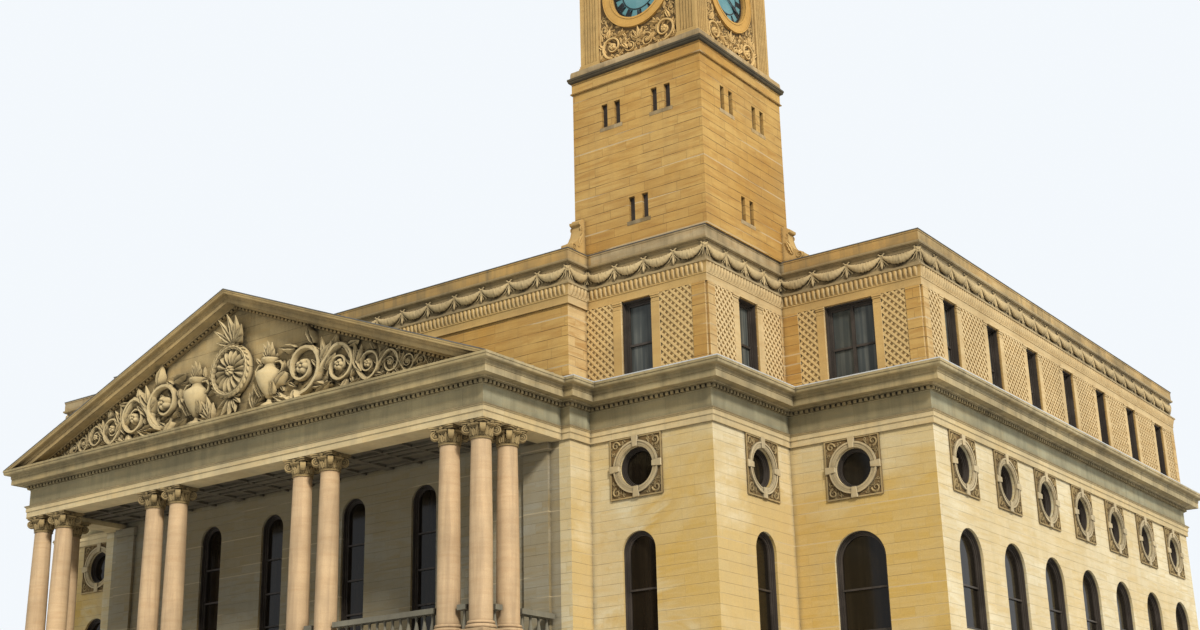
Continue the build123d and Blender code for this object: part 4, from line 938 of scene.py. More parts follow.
def rosette(radius, petals=6, rise=0.5):
    """A flower of round petals with a button in the middle."""
    rows = []
    rings = 5
    for i in range(rings + 1):
        t = i / rings
        row = []
        for j in range(petals * 4):
            angle = math.tau * j / (petals * 4)
            lobe = 0.72 + 0.28 * abs(math.cos(petals * angle / 2))
            spread = radius * t * (1 + (lobe - 1) * t)
            lift = radius * rise * (0.35 + 0.65 * math.sin(math.pi * min(1, t * 1.05)) * lobe)
            if i == rings:
                lift = -0.004
            row.append((*polar(spread, angle), lift))
        rows.append(row)
    flower = surface(rows, around=True)
    dome = []
    for i in range(5):
        out, up = polar(radius, math.pi / 2 * i / 4)
        dome.append([(x, y, radius * rise * 0.5 + 0.3 * up) for x, y in circle(0.26 * out, 8)])
    return flower.add(surface(dome, around=True))


def swag(length):
    """A hanging bunch of fruit and leaves between two flowers, with a ribbon drop."""
    half = length / 2
    top = 0.668
    sag = 0.112
    steps = 30
    path = []
    radii = []
    for i in range(steps + 1):
        s = 2 * i / steps - 1
        path.append((s * (half - 0.03), top - sag * (1 - s * s), 0.036))
        full = 0.020 + 0.068 * (1 - abs(s) ** 1.9)
        radii.append(full * (1 + 0.10 * math.sin(i * 2.4)))
    bunch = tube(path, radii, 10, 0.72)
    count = len(bunch.points)
    for k in range(count):
        lump = 1 + 0.13 * math.sin(k * 2.1) * math.cos(k * 0.7)
        centre = Vector(path[min(k // 10, steps)])
        bunch.points[k] = centre + (bunch.points[k] - centre) * lump
    for side in (-1, 1):
        for turn_out in (0.35, 1.0):
            tail = [(side * half, top, 0.03)]
            for i in range(1, 6):
                t = i / 5
                tail.append((side * (half - 0.13 * turn_out * t), top - 0.03 - 0.15 * t,
                             0.026 + 0.008 * math.sin(6 * t)))
            bunch.add(tube(tail, [0.008, 0.011, 0.014, 0.012, 0.014, 0.006], 5, 0.7))
        ribbon = [(side * (half - 0.02 - 0.055 * t), top + 0.02 + 0.05 * math.sin(2.2 * t), 0.03)
                  for t in (0, 0.3, 0.6, 1)]
        bunch.add(tube(ribbon, [0.007, 0.012, 0.012, 0.004], 5, 0.7))
    return bunch


def garlands():
    """Swags along the frieze, with a flower and a drop wherever two of them meet."""
    plan = stepped_plan()
    hung = Carving()
    flowers = Carving()
    flower = rosette(0.066, 6, 0.7)
    drop = tube([(0, 0.60, 0.03), (0, 0.56, 0.034), (0, 0.52, 0.036), (0, 0.47, 0.034),
                 (0, 0.43, 0.028)], [0.010, 0.018, 0.028, 0.022, 0.004], 8, 0.8)
    for start, end, facing in stretches(plan, FRIEZE_OUT):
        run = (end - start).length
        if run < 0.4:
            continue
        count = max(1, round(run / 0.66))
        bunch = swag(run / count)
        for i in range(count + 1):
            inset = 0.03 if i == 0 else (-0.03 if i == count else 0)
            spot = start + (end - start).normalized() * (run * i / count + inset)
            place = on_wall(spot.x, spot.y, ATTIC_FRIEZE_Z, facing)
            flowers.add(flower, place @ move(0, 0.672, 0))
            if 0 < i < count:
                flowers.add(drop, place)
        for i in range(count):
            spot = start.lerp(end, (i + 0.5) / count)
            hung.add(bunch, on_wall(spot.x, spot.y, ATTIC_FRIEZE_Z, facing))
    show("garland_swags", hung, CARVED_STONE, 75)
    show("garland_flowers", flowers, CARVED_STONE, 60)


# Attic storey: piers, window strips and lattice panels
def clipped(polygon, width, height):
    """A polygon cut to the rectangle from the corner (0, 0)."""
    for axis, limit, sign in ((0, 0, 1), (0, width, -1), (1, 0, 1), (1, height, -1)):
        kept = []
        for i, here in enumerate(polygon):
            there = polygon[(i + 1) % len(polygon)]
            inside = (here[axis] - limit) * sign
            beyond = (there[axis] - limit) * sign
            if inside >= 0:
                kept.append(here)
            if inside * beyond < 0:
                t = inside / (inside - beyond)
                kept.append((here[0] + (there[0] - here[0]) * t,
                             here[1] + (there[1] - here[1]) * t))
        polygon = kept
        if len(polygon) < 3:
            return []
    return polygon


def lattice(width, height):
    """Crossed diagonal bars that fill a panel, the second set over the first."""
    grid = Carving()
    pitch = 0.142
    half = 0.040 / 2 * math.sqrt(2)
    for way, low, high in ((1, 0.0, 0.026), (-1, 0.0, 0.034)):
        start = -height if way > 0 else 0
        first = math.floor(start / pitch)
        last = math.ceil((width + (0 if way > 0 else height)) / pitch)
        for i in range(first, last + 1):
            x = (i + 0.5) * pitch
            strip = [(x - half, 0), (x + half, 0), (x + half + way * height, height),
                     (x - half + way * height, height)]
            polygon = clipped(strip, width, height)
            if polygon:
                grid.add(prism(polygon, low, high))
    return grid


def window_strip(width, height):
    """A slim pilaster beside an attic window, with a base and a cap."""
    shaft = (0.0, 0.10, height - 0.15, 0.038, 0.004)
    plinth = (0.006, 0, 0.06, 0.046, 0.005)
    torus = (0.002, 0.06, 0.10, 0.038, 0.006)
    necking = (0.003, height - 0.15, height - 0.125, 0.040, 0.005)
    echinus = (0.006, height - 0.07, height - 0.035, 0.044, 0.006)
    abacus = (0.012, height - 0.035, height, 0.054, 0.004)
    strip = Carving()
    for spread, low, high, out, soft in (shaft, plinth, torus, necking, echinus, abacus):
        strip.add(eased(-spread, width + spread, low, high, -0.002, out, soft))
    return strip.add(block(0.002, width - 0.002, height - 0.125, height - 0.07, -0.002, 0.030))


def bay_steps(count, middle=0.0):
    """The middles of a row of even bays."""
    return [middle + (i - (count - 1) / 2) * BAY_PITCH for i in range(count)]


class AtticRun:
    """One stretch of attic wall: where it starts, its length, windows and corner piers."""

    def __init__(self, start, facing, length, windows, width, strip, piers):
        self.place = on_wall(start[0], start[1], ATTIC_Z, facing)
        self.length = length
        self.windows = windows
        self.width = width
        self.strip = strip
        self.piers = piers


def attic_runs():
    """Every dressed stretch of the attic, left to right as seen from outside."""
    pier = 0.22
    bay_pier = 0.282
    inner_pier = 0.12
    wing_piers = (0.37, 0.292)
    strip = 0.165
    return_strip = 0.19
    bay_strip = 0.185
    side = (bay_steps(SIDE_BAYS, MAIN_DEPTH / 2), ATTIC_WIDTH, strip, (pier, pier))
    back = (bay_steps(BACK_BAYS, MAIN_HALF), ATTIC_WIDTH, strip, (pier, pier))
    wing = MAIN_HALF - BAY_HALF
    bay = BAY_HALF - CENTRE_HALF
    return_wall = MAIN_Y - BAY_Y
    return [
        AtticRun((MAIN_HALF, MAIN_Y), RIGHT, MAIN_DEPTH, *side),
        AtticRun((-MAIN_HALF, BACK_Y), LEFT, MAIN_DEPTH, *side),
        AtticRun((MAIN_HALF, BACK_Y), BACK, 2 * MAIN_HALF, *back),
        AtticRun((BAY_HALF, MAIN_Y), FRONT, wing, [ATTIC_WING_WINDOW_X - BAY_HALF],
                 ATTIC_WING_WIDTH, strip, wing_piers),
        AtticRun((-MAIN_HALF, MAIN_Y), FRONT, wing, [MAIN_HALF - ATTIC_WING_WINDOW_X],
                 ATTIC_WING_WIDTH, strip, wing_piers[::-1]),
        AtticRun((BAY_HALF, BAY_Y), RIGHT, return_wall, [ATTIC_BAY_WINDOW_Y - BAY_Y],
                 ATTIC_BAY_WIDTH, return_strip, (pier, inner_pier)),
        AtticRun((-BAY_HALF, MAIN_Y), LEFT, return_wall, [MAIN_Y - ATTIC_BAY_WINDOW_Y],
                 ATTIC_BAY_WIDTH, return_strip, (inner_pier, pier)),
        AtticRun((CENTRE_HALF, BAY_Y), FRONT, bay, [ATTIC_BAY_WINDOW_X - CENTRE_HALF],
                 ATTIC_BAY_WIDTH, bay_strip, (0.0, bay_pier)),
        AtticRun((-BAY_HALF, BAY_Y), FRONT, bay, [BAY_HALF - ATTIC_BAY_WINDOW_X],
                 ATTIC_BAY_WIDTH, bay_strip, (bay_pier, 0.0)),
    ]


def attic_dressing(runs):
    height = ATTIC_FRIEZE_Z - ATTIC_Z
    grids = Carving()
    grounds = Carving()
    strips = Carving()
    piers = Carving()
    for run in runs:
        left, right = run.piers
        for low, high in ((0.0, left), (run.length - right, run.length)):
            if high > low:
                piers.add(eased(low, high, 0, height, -0.01, 0.045, 0.004), run.place)
        edges = [left]
        post = window_strip(run.strip, height)
        half = run.width / 2
        for middle in run.windows:
            for x in (middle - half - run.strip, middle + half):
                strips.add(post, run.place @ move(x, 0))
            edges += [middle - half - run.strip, middle + half + run.strip]
        edges.append(run.length - right)
        for x0, x1 in zip(edges[0::2], edges[1::2]):
            if x1 - x0 > 0.12:
                grids.add(lattice(x1 - x0, height), run.place @ move(x0, 0))
                grounds.add(block(0, x1 - x0, 0, height, -0.004, 0.003), run.place @ move(x0, 0))
    show("attic_lattice_panels", grids, LATTICE_STONE)
    show("attic_lattice_grounds", grounds, LATTICE_GROUND)
    show("attic_window_strips", strips, GOLDEN_CARVING)
    show("attic_corner_piers", piers, GOLDEN_STONE)


# Window joinery, drawn about the middle of the sill with z from the glass outward
def rectangle(width, height, inset=0.0):
    half = width / 2 - inset
    return [(-half, inset), (half, inset), (half, height - inset), (-half, height - inset)]


def arch(width, height, inset=0.0):
    """A round-headed outline that stands on its sill."""
    steps = 20
    radius = width / 2
    centre = height - radius
    points = [(-radius + inset, inset), (radius - inset, inset)]
    for i in range(steps + 1):
        x, y = polar(radius - inset, math.pi * i / steps)
        points.append((x, centre + y))
    return points


def bar(x0, x1, y0, y1, depth=0.035):
    return block(x0, x1, y0, y1, -0.002, depth)


def sash_window(width, height, mullions=0, rail=0.44):
    """A square-headed sash window with a meeting rail."""
    joinery = band(rectangle(width, height), rectangle(width, height, 0.05), -0.002, FRAME_DEPTH)
    joinery.add(band(rectangle(width, height, 0.05), rectangle(width, height, 0.085), -0.002,
                     0.03))
    level = height * rail
    joinery.add(bar(-width / 2 + 0.06, width / 2 - 0.06, level - 0.02, level + 0.02))
    for i in range(mullions):
        x = width * ((i + 1) / (mullions + 1) - 0.5)
        joinery.add(bar(x - 0.03, x + 0.03, 0.05, height - 0.05, 0.045))
    return joinery


def arched_window(width, height, levels=(0.44,)):
    joinery = band(arch(width, height), arch(width, height, 0.045), -0.002, FRAME_DEPTH)
    joinery.add(band(arch(width, height, 0.045), arch(width, height, 0.075), -0.002, 0.03))
    joinery.add(band(arch(width, height), arch(width, height, 0.018), FRAME_DEPTH - 0.002, 0.10))
    for share in levels:
        level = height * share
        joinery.add(bar(-width / 2 + 0.05, width / 2 - 0.05, level - 0.016, level + 0.016))
    return joinery


def round_window(radius):
    joinery = hoop(radius, radius - 0.035, -0.002, FRAME_DEPTH)
    joinery.add(hoop(radius - 0.035, radius - 0.055, -0.002, 0.03))
    joinery.add(hoop(radius, radius - 0.016, FRAME_DEPTH - 0.002, 0.10))
    return joinery


def bay_spots():
    """Each lower bay: a spot on its wall at ground level, its outward way and window width."""
    spots = []
    for y in bay_steps(SIDE_BAYS, MAIN_Y + MAIN_DEPTH / 2):
        spots += [(MAIN_HALF, y, RIGHT, WIDE_WINDOW), (-MAIN_HALF, y, LEFT, WIDE_WINDOW)]
    for x in bay_steps(BACK_BAYS):
        spots.append((x, BACK_Y, BACK, WIDE_WINDOW))
    for side, facing in ((1, RIGHT), (-1, LEFT)):
        spots.append((side * WING_WINDOW_X, MAIN_Y, FRONT, WIDE_WINDOW))
        spots.append((side * BAY_WINDOW_X, BAY_Y, FRONT, NARROW_WINDOW))
        spots.append((side * BAY_HALF, BAY_WINDOW_Y, facing, NARROW_WINDOW))
    return spots


def window_joinery(runs):
    ground = Carving()
    arched = Carving()
    rounds = Carving()
    attic = Carving()
    for x, y, facing, width in bay_spots():
        spot = Vector((x, y, 0)) - facing * GLASS_RECESS
        mullions = 1 if width == WIDE_WINDOW else 0
        ground.add(sash_window(width, GROUND_HEAD - GROUND_SILL, mullions),
                   on_wall(spot.x, spot.y, GROUND_SILL, facing))
        arched.add(arched_window(width, MAIN_CROWN - MAIN_SILL),
                   on_wall(spot.x, spot.y, MAIN_SILL, facing))
        rounds.add(round_window(OCULUS_RADIUS), on_wall(spot.x, spot.y, OCULUS_Z, facing))
    high = ATTIC_HEAD - ATTIC_SILL
    for run in runs:
        mullions = 1 if run.width == ATTIC_WING_WIDTH else 0
        sash = sash_window(run.width, high, mullions, 0.42)
        sash.add(band(rectangle(run.width, high), rectangle(run.width, high, 0.022),
                      FRAME_DEPTH - 0.002, GLASS_RECESS - 0.012))
        for middle in run.windows:
            attic.add(sash, run.place @ move(middle, ATTIC_SILL - ATTIC_Z, -GLASS_RECESS))
    tall = arched_window(LOGGIA_WIDTH, LOGGIA_CROWN - LOGGIA_SILL, (0.25, 0.47, 0.70))
    for x in LOGGIA_WINDOWS_X:
        for side in (1, -1):
            arched.add(tall, on_wall(side * x, CENTRE_Y + GLASS_RECESS, LOGGIA_SILL, FRONT))
    for name, joinery in (("ground", ground), ("arched", arched), ("round", rounds),
                          ("attic", attic)):
        show(name + "_window_joinery", joinery, FRAME_PAINT)


# Relief carving, drawn on a wall: x to the right, y up and z outward
MIRROR = stretched(-1, 1, 1)
UPRIGHT = Matrix.Rotation(math.radians(-90), 4, "X")
RELIEF_DEPTH = 2.0


def scroll(radius, way=1, turns=1.55, thick=0.15, steps=30, sides=6):
    """A coiled stem that starts at its lowest or highest point and thins towards its eye."""
    path = []
    radii = []
    for i in range(steps + 1):
        t = i / steps
        angle = way * (math.tau * turns * t - math.pi / 2)
        reach = radius * (1 - 0.84 * t ** 0.9)
        path.append((*polar(reach, angle), 0.5 * radius * thick))
        radii.append(radius * thick * (1 - 0.6 * t))
    return tube(path, radii, sides)


def leaf(length, width, curl=0.15, rise=0.32, lobes=3):
    """A leaf with lobed edges and two swelling halves that curls outward to its tip."""
    rows = []
    steps = 2 * lobes + 2
    for i in range(steps + 1):
        t = i / steps
        reach = width / 2 * math.sin(math.pi * (0.08 + 0.92 * t) ** 0.8)
        reach = max(0.002, reach * (1.0 if i % 2 else 0.74))
        back = curl * length * t * t - 0.004
        crest = width * rise * math.sin(math.pi * min(1, 0.25 + 0.75 * t))
        front = [(s * reach, length * t, back + crest * lift)
                 for s, lift in ((-1, 0), (-0.5, 1), (0, 0.55), (0.5, 1), (1, 0))]
        rows.append(front + [(reach, length * t, back - 0.006), (-reach, length * t, back - 0.006)])
    return surface(rows, around=True)


def palmette(length, count=5, spread=130.0, curl=0.15):
    """A fan of leaves, the middle one longest."""
    fan = Carving()
    for i in range(count):
        s = 2 * i / (count - 1) - 1
        fan.add(leaf(length * (1 - 0.35 * s * s), length * 0.30, curl),
                turn(-s * spread / 2) @ move(0, 0.05 * length))
    return fan


def coil(radius, way=1):
    """The coil of a running scroll, with leaves in and round it and a flower at its eye."""
    leaves = 6
    piece = scroll(radius, way, thick=0.115)
    piece.add(rosette(radius * 0.34, 5, 0.55))
    for i in range(leaves):
        angle = way * (360 / leaves * i - 60)
        piece.add(leaf(radius * 0.80, radius * 0.44, 0.16, 0.36, 2),
                  turn(angle - 90) @ move(0, radius * 0.90) @ turn(way * 50))
        piece.add(leaf(radius * 0.42, radius * 0.24, 0.12, 0.4, 1),
                  turn(angle - 60) @ move(0, radius * 0.88) @ turn(way * 120))
    return piece


def foliage(free, spread, spacing, size):
    """Leaves at wandering angles that fill the free ground between scrolls."""
    fill = Carving()
    low_x, high_x, low_y, high_y = spread
    for i in range(int((high_x - low_x) / spacing)):
        for j in range(int((high_y - low_y) / spacing)):
            x = low_x + (i + 0.5 + random.uniform(-0.3, 0.3)) * spacing
            y = low_y + (j + 0.5 + random.uniform(-0.3, 0.3)) * spacing
            if free(x, y):
                blade = leaf(size * random.uniform(0.8, 1.2), size * 0.5, 0.06, 0.36, 1)
                fill.add(blade, move(x, y) @ turn(random.uniform(0, 360)))
    return fill


def vase():
    """A two-handled vase with a tuft of leaves, as high as the space beside the shell."""
    profile = [(0.001, 0), (0.17, 0), (0.17, 0.05), (0.08, 0.11), (0.06, 0.17), (0.10, 0.21),
               (0.21, 0.40), (0.27, 0.58), (0.25, 0.68), (0.15, 0.77), (0.12, 0.84),
               (0.19, 0.91), (0.19, 0.95), (0.001, 0.95)]
    piece = Carving()
    piece.add(turned(profile, 24), stretched(1, 1, 0.62) @ UPRIGHT)
    for side in (-1, 1):
        handle = [(side * x, y, 0.03) for x, y in ((0.23, 0.60), (0.34, 0.66), (0.36, 0.77),
                                                   (0.28, 0.86), (0.16, 0.86))]
        piece.add(tube(handle, 0.022, 6))
    piece.add(palmette(0.36, 5, 80), move(0, 0.92, 0.03))
    for i in range(7):
        piece.add(leaf(0.24, 0.09, 0.3), move(0.06 * (i - 3), 0.22, 0.05) @ turn(-7 * (i - 3)))
    return piece


def wreathed_shell(radius):
    """A fluted shell inside a wreath of leaves."""
    flutes = 16
    rows = []
    for i in range(7):
        t = i / 6
        row = []
        for j in range(flutes * 4):
            angle = math.tau * j / (flutes * 4)
            wave = 0.5 + 0.5 * math.cos(flutes * angle)
            out = radius * (0.05 + 0.14 * math.sin(math.pi * t * 0.8) * (0.4 + 0.6 * wave))
            x, y = polar(radius * 0.80 * t, angle)
            row.append((x + 0.001, y, out))
        rows.append(row)
    piece = surface(rows[1:], around=True)
    piece.add(rosette(radius * 0.24, 8, 0.6), move(0, 0, radius * 0.06))
    wreath = radius * 0.88
    ring = [(*polar(wreath, math.tau * i / 36), radius * 0.08) for i in range(37)]
    piece.add(tube(ring, radius * 0.10, capped=False))
    blade = leaf(radius * 0.24, radius * 0.13, 0.1, lobes=1)
    for i in range(28):
        for side in (-1, 1):
            spot = turn(360 / 28 * i) @ move(0, wreath, radius * 0.14)
            piece.add(blade, spot @ turn(-90 + side * 28))
    return piece


# Pediment
GABLE_HALF = PORTICO_HALF + 0.435
APEX_Z = 11.550
GABLE_SLOPE = (APEX_Z - ATTIC_Z) / GABLE_HALF
RAKING_DEPTH = 0.33


def gable_height(x):
    """The clear height of the pediment field at a distance from its middle."""
    return (GABLE_HALF - abs(x)) * GABLE_SLOPE - RAKING_DEPTH


def running_scroll():
    """Coils that grow smaller towards the corner, joined by one winding stem."""
    run = Carving()
    share = 0.35
    edge = 1.42
    way = 1
    before = None
    while gable_height(edge) > 0.24:
        radius = share * gable_height(edge) / (1 + share * GABLE_SLOPE)
        x = edge + radius
        y = 0.10 + 1.1 * radius
        run.add(coil(radius, way), move(x, y))
        if before:
            start_x, start_y = before
            path = []
            for i in range(9):
                t = i / 8
                swing = t * t * (3 - 2 * t)
                path.append((start_x + (x - start_x) * t,
                             start_y + (y + way * -radius - start_y) * swing, 0.05 * radius))
            run.add(tube(path, radius * 0.14, 6))
            run.add(palmette(0.46 * gable_height(edge), 5, 100), move(edge, 1.15 * radius + 0.05))
        for side in (-1, 1):
            run.add(leaf(radius * 0.95, radius * 0.42),
                    move(x + side * radius * 0.55, 0.03) @ turn(-side * 66))
            run.add(leaf(radius * 0.6, radius * 0.34),
                    move(x + side * radius * 0.9, 0.03) @ turn(-side * 30))
        before = (x, y - way * radius)
        edge += 2 * radius
        way = -way
    return run


def pediment_relief():
    group = Carving()
    group.add(wreathed_shell(0.54), move(0, 0.96))
    group.add(palmette(0.56, 7, 150, 0.25), move(0, 1.48, 0.02))
    group.add(palmette(0.42, 7, 170), move(0, 0.48, 0.02) @ turn(180))
    half = Carving()
    half.add(vase(), move(1.02, 0.06))
    half.add(palmette(0.5, 5, 90), move(0.60, 0.10) @ turn(-30))
    half.add(running_scroll())
    group.add(half).add(half, MIRROR)
    group.add(foliage(lambda x, y: y < 0.62 * gable_height(x) and abs(x) > 0.7,
                      (-5.0, 5.0, 0.03, 1.3), 0.21, 0.2))
    place = on_wall(0, PORTICO_Y, ATTIC_Z + 0.02, FRONT) @ stretched(1, 1, RELIEF_DEPTH)
    show("pediment_relief", repeated(group, [place]), RELIEF_STONE, 50)


def raking_run(profile):
    """A moulding up one side of the gable and down the other, cut level at its feet."""
    rows = []
    for side in (-1, 0, 1):
        row = []
        for out, drop in profile:
            x = side * (GABLE_HALF - drop / GABLE_SLOPE)
            row.append((x, PORTICO_Y - out, ATTIC_Z if side else APEX_Z - drop))
        rows.append(row)
    return surface(rows, around=True, capped=True)


def raking_cornice():
    back = -0.22
    profile = [(back, 0.016), (0.428, 0.016), (0.428, 0.046)]
    profile += curve_between((0.420, 0.050), (0.314, 0.150), 0.16, 9, ogee=True)
    profile += [(0.302, 0.154), (0.302, 0.166), (0.296, 0.168), (0.296, 0.240), (0.280, 0.240),
                (0.278, 0.250), (0.142, 0.250)]
    profile += curve_between((0.138, 0.252), (0.104, 0.276), -0.25, 4)
    profile += [(0.058, 0.278), (0.058, 0.330), (back, 0.330)]
    show("raking_mouldings", raking_run(profile), RAKING_STONE,
         stands_for=("raking_cornice",))
    cap = [(back, 0.0), (0.435, 0.0), (0.435, 0.016), (back, 0.016)]
    show("gable_flashing", raking_run(cap), LEAD)
    slope = math.atan(GABLE_SLOPE)
    dentil = eased(-0.032, 0.032, -0.325 * math.cos(slope), -0.280 * math.cos(slope),
                   0.05, 0.098, 0.004)
    teeth = Carving()
    run = (GABLE_HALF - RAKING_DEPTH / GABLE_SLOPE) / math.cos(slope) - 0.12
    for side in (-1, 1):
        place = on_wall(0, PORTICO_Y, APEX_Z, FRONT) @ turn(-side * math.degrees(slope))
        for i in range(int(run / DENTIL_PITCH)):
            teeth.add(dentil, place @ move(side * (0.13 + DENTIL_PITCH * i), 0))
    show("raking_dentils", teeth, RAKING_STONE, 35)


# Columns
NECK_DROP = 0.325
CAPITAL_SPREAD = 1.12
INNER_COLUMNS_X = (2.41, 1.71)
PAIR_PITCH = 0.7


def volute(radius, width):
    """A ribbon wound round the y axis, with a solid core and a boss on each side."""
    rows = []
    steps = 44
    for i in range(steps + 1):
        t = i / steps
        angle = math.pi * 0.62 - math.tau * 1.9 * t
        outer = radius * (1 - 0.80 * t)
        inner = outer - radius * 0.17 * (1 - 0.5 * t)
        half = width / 2 * (1 + 0.10 * t)
        row = []
        for reach, side in ((outer, -1), (outer, 1), (inner, 1), (inner, -1)):
            row.append((reach * math.cos(angle), side * half, reach * math.sin(angle)))
        rows.append(row)
    piece = surface(rows, around=True, capped=True)
    core = turned([(0.001, -width * 0.36), (radius * 0.9, -width * 0.36),
                   (radius * 0.9, width * 0.36), (0.001, width * 0.36)], 20)
    boss = turned([(0.001, -width * 0.6), (radius * 0.13, -width * 0.56), (radius * 0.16, 0),
                   (radius * 0.13, width * 0.56), (0.001, width * 0.6)], 10)
    flat = Matrix.Rotation(math.radians(90), 4, "X")
    return piece.add(core, flat).add(boss, flat)


def capital():
    """A bell ringed by two rows of leaves, an egg moulding, corner scrolls and an abacus."""
    neck = -NECK_DROP
    profile = [(0.10, neck), (0.172, neck)]
    profile += curve_between((0.176, neck + 0.004), (0.176, neck + 0.036), -0.4, 5)
    profile += [(0.166, neck + 0.042), (0.160, neck + 0.05), (0.158, neck + 0.12),
                (0.172, neck + 0.19), (0.186, neck + 0.20), (0.190, neck + 0.208),
                (0.186, neck + 0.216), (0.10, neck + 0.216)]
    piece = turned(profile, 32)
    eggs = []
    for out, height in ((0.17, 0.212), (0.206, 0.220), (0.222, 0.238), (0.214, 0.254),
                        (0.17, 0.262)):
        row = []
        for j in range(96):
            angle = math.tau * j / 96
            swell = 1 + 0.055 * abs(math.cos(8 * angle)) ** 0.6
            row.append((*polar(out * swell, angle), neck + height))
        eggs.append(row)
    piece.add(surface(eggs, around=True))
    for i in range(8):
        for shift, length, width, out in ((0.0, 0.135, 0.115, 0.158), (0.5, 0.19, 0.105, 0.156)):
            piece.add(leaf(length, width, 0.30, 0.22),
                      facing_out(45 * (i + shift), out, neck + 0.045))
    for corner in (45, 135, 225, 315):
        piece.add(volute(0.088, 0.088), turn(corner) @ move(0.222, 0, -0.155))
        piece.add(leaf(0.11, 0.07, 0.35), facing_out(corner, 0.19, neck + 0.10))
    for low, high, half, dip in ((-0.062, -0.034, 0.228, 0.034), (-0.034, -0.028, 0.236, 0.034),
                                 (-0.028, 0.0, 0.25, 0.036)):
        outline = []
        for side in range(4):
            for k in range(9):
                s = -1 + 2 * k / 9
                bow = dip * math.cos(math.pi / 2 * s) if abs(s) < 1 else 0
                point = Vector((half - bow, s * half * 0.88, 0))
                spot = turn(90 * side) @ point
                outline.append((spot.x, spot.y))
        piece.add(prism(outline, low, high))
    for side in range(4):
        piece.add(rosette(0.044, 5, 0.6), facing_out(90 * side, 0.206, -0.036))
    return piece


def column_spots():
    corner = PORTICO_HALF - 0.225
    line = PORTICO_Y + 0.225
    spots = [(x, line) for x in (corner, corner - PAIR_PITCH) + INNER_COLUMNS_X]
    spots.append((corner, line + PAIR_PITCH))
    return spots + [(-x, y) for x, y in spots]


def capitals():
    places = [move(x, y, ENTABLATURE_Z) @ stretched(CAPITAL_SPREAD, CAPITAL_SPREAD, 1)
              for x, y in column_spots()]
    show("carved_capitals", repeated(capital(), places), CAPITAL_STONE, 40,
         ("column_capitals",))


def portico_soffit():
    """Thin ribs that divide the portico ceiling into coffers."""
    ribs = Carving()
    low = ENTABLATURE_Z + 0.105
    high = ENTABLATURE_Z + 0.152
    reach = PORTICO_HALF - WALL
    front = PORTICO_Y + WALL
    half = 0.028
    across = 16
    deep = 4
    for i in range(across + 1):
        x = -reach + 2 * reach * i / across
        ribs.add(block(x - half, x + half, front, CENTRE_Y, low, high))
    for i in range(deep):
        y = front + (CENTRE_Y - front) * (i + 0.5) / deep
        ribs.add(block(-reach, reach, y - half, y + half, low - 0.002, high))
    show("coffer_ribs", ribs, SOFFIT_STONE)


# Round windows
def square_ring(half, steps=40):
    """A square outline with its points on evenly turned rays, to pair with a circle."""
    points = []
    for i in range(steps):
        angle = math.tau * i / steps
        reach = half / max(abs(math.cos(angle)), abs(math.sin(angle)))
        points.append(polar(reach, angle))
    return points


def small_coil(radius, way):
    piece = scroll(radius, way, 1.3, 0.24, 14, 4)
    for i in range(3):
        piece.add(leaf(radius * 0.9, radius * 0.55, 0.1, 0.35, 1),
                  turn(way * (120 * i - 20) - 90) @ move(0, radius * 0.8) @ turn(way * 48))
    return piece


def oculus_surrounds():
    ground = band(square_ring(SURROUND_HALF), circle(OCULUS_RADIUS), -0.002, 0.012)
    plate = band(square_ring(SURROUND_HALF), square_ring(SURROUND_HALF - 0.028), 0.010, 0.030)
    for quarter in range(4):
        spot = turn(90 * quarter)
        plate.add(small_coil(0.088, 1), spot @ move(0.420, 0.420, 0.012))
        for flip, x, y in ((1, 0.472, 0.252), (-1, 0.252, 0.472)):
            plate.add(scroll(0.038, flip, 1.2, 0.3, 10, 4), spot @ move(x, y, 0.012))
            plate.add(leaf(0.12, 0.05, 0.1, 0.35, 1),
                      spot @ move(x * 1.02, y * 1.02, 0.012) @ turn(-45 + flip * 120))
        plate.add(foliage(lambda x, y: x * x + y * y > 0.245 and x + y > 0.60,
                          (0.16, 0.53, 0.16, 0.53), 0.066, 0.078), spot @ move(0, 0, 0.012))
    rings = Carving()
    for outer, inner, low, high in (
            (0.465, OCULUS_RADIUS + 0.012, -0.002, 0.036), (0.472, 0.440, 0.0, 0.050),
            (0.400, 0.392, 0.0, 0.042), (0.376, OCULUS_RADIUS, -0.002, 0.026)):
        rings.add(hoop(outer, inner, low, high))
    keystone = softened(prism([(-0.048, 0.352), (0.048, 0.352), (0.068, 0.548), (-0.068, 0.548)],
                              -0.002, 0.060), 0.006)
    rings.add(repeated(keystone, [turn(90 * quarter) for quarter in range(4)]))
    places = [on_wall(x, y, OCULUS_Z, facing) for x, y, facing, _ in bay_spots()]
    show("oculus_plates", repeated(ground, places), PIT_STONE, 40,
         ("oculus_surrounds",))
    show("oculus_carving", repeated(plate, places), CAPITAL_STONE, 40)
    show("oculus_rings", repeated(rings, places), RING_STONE)


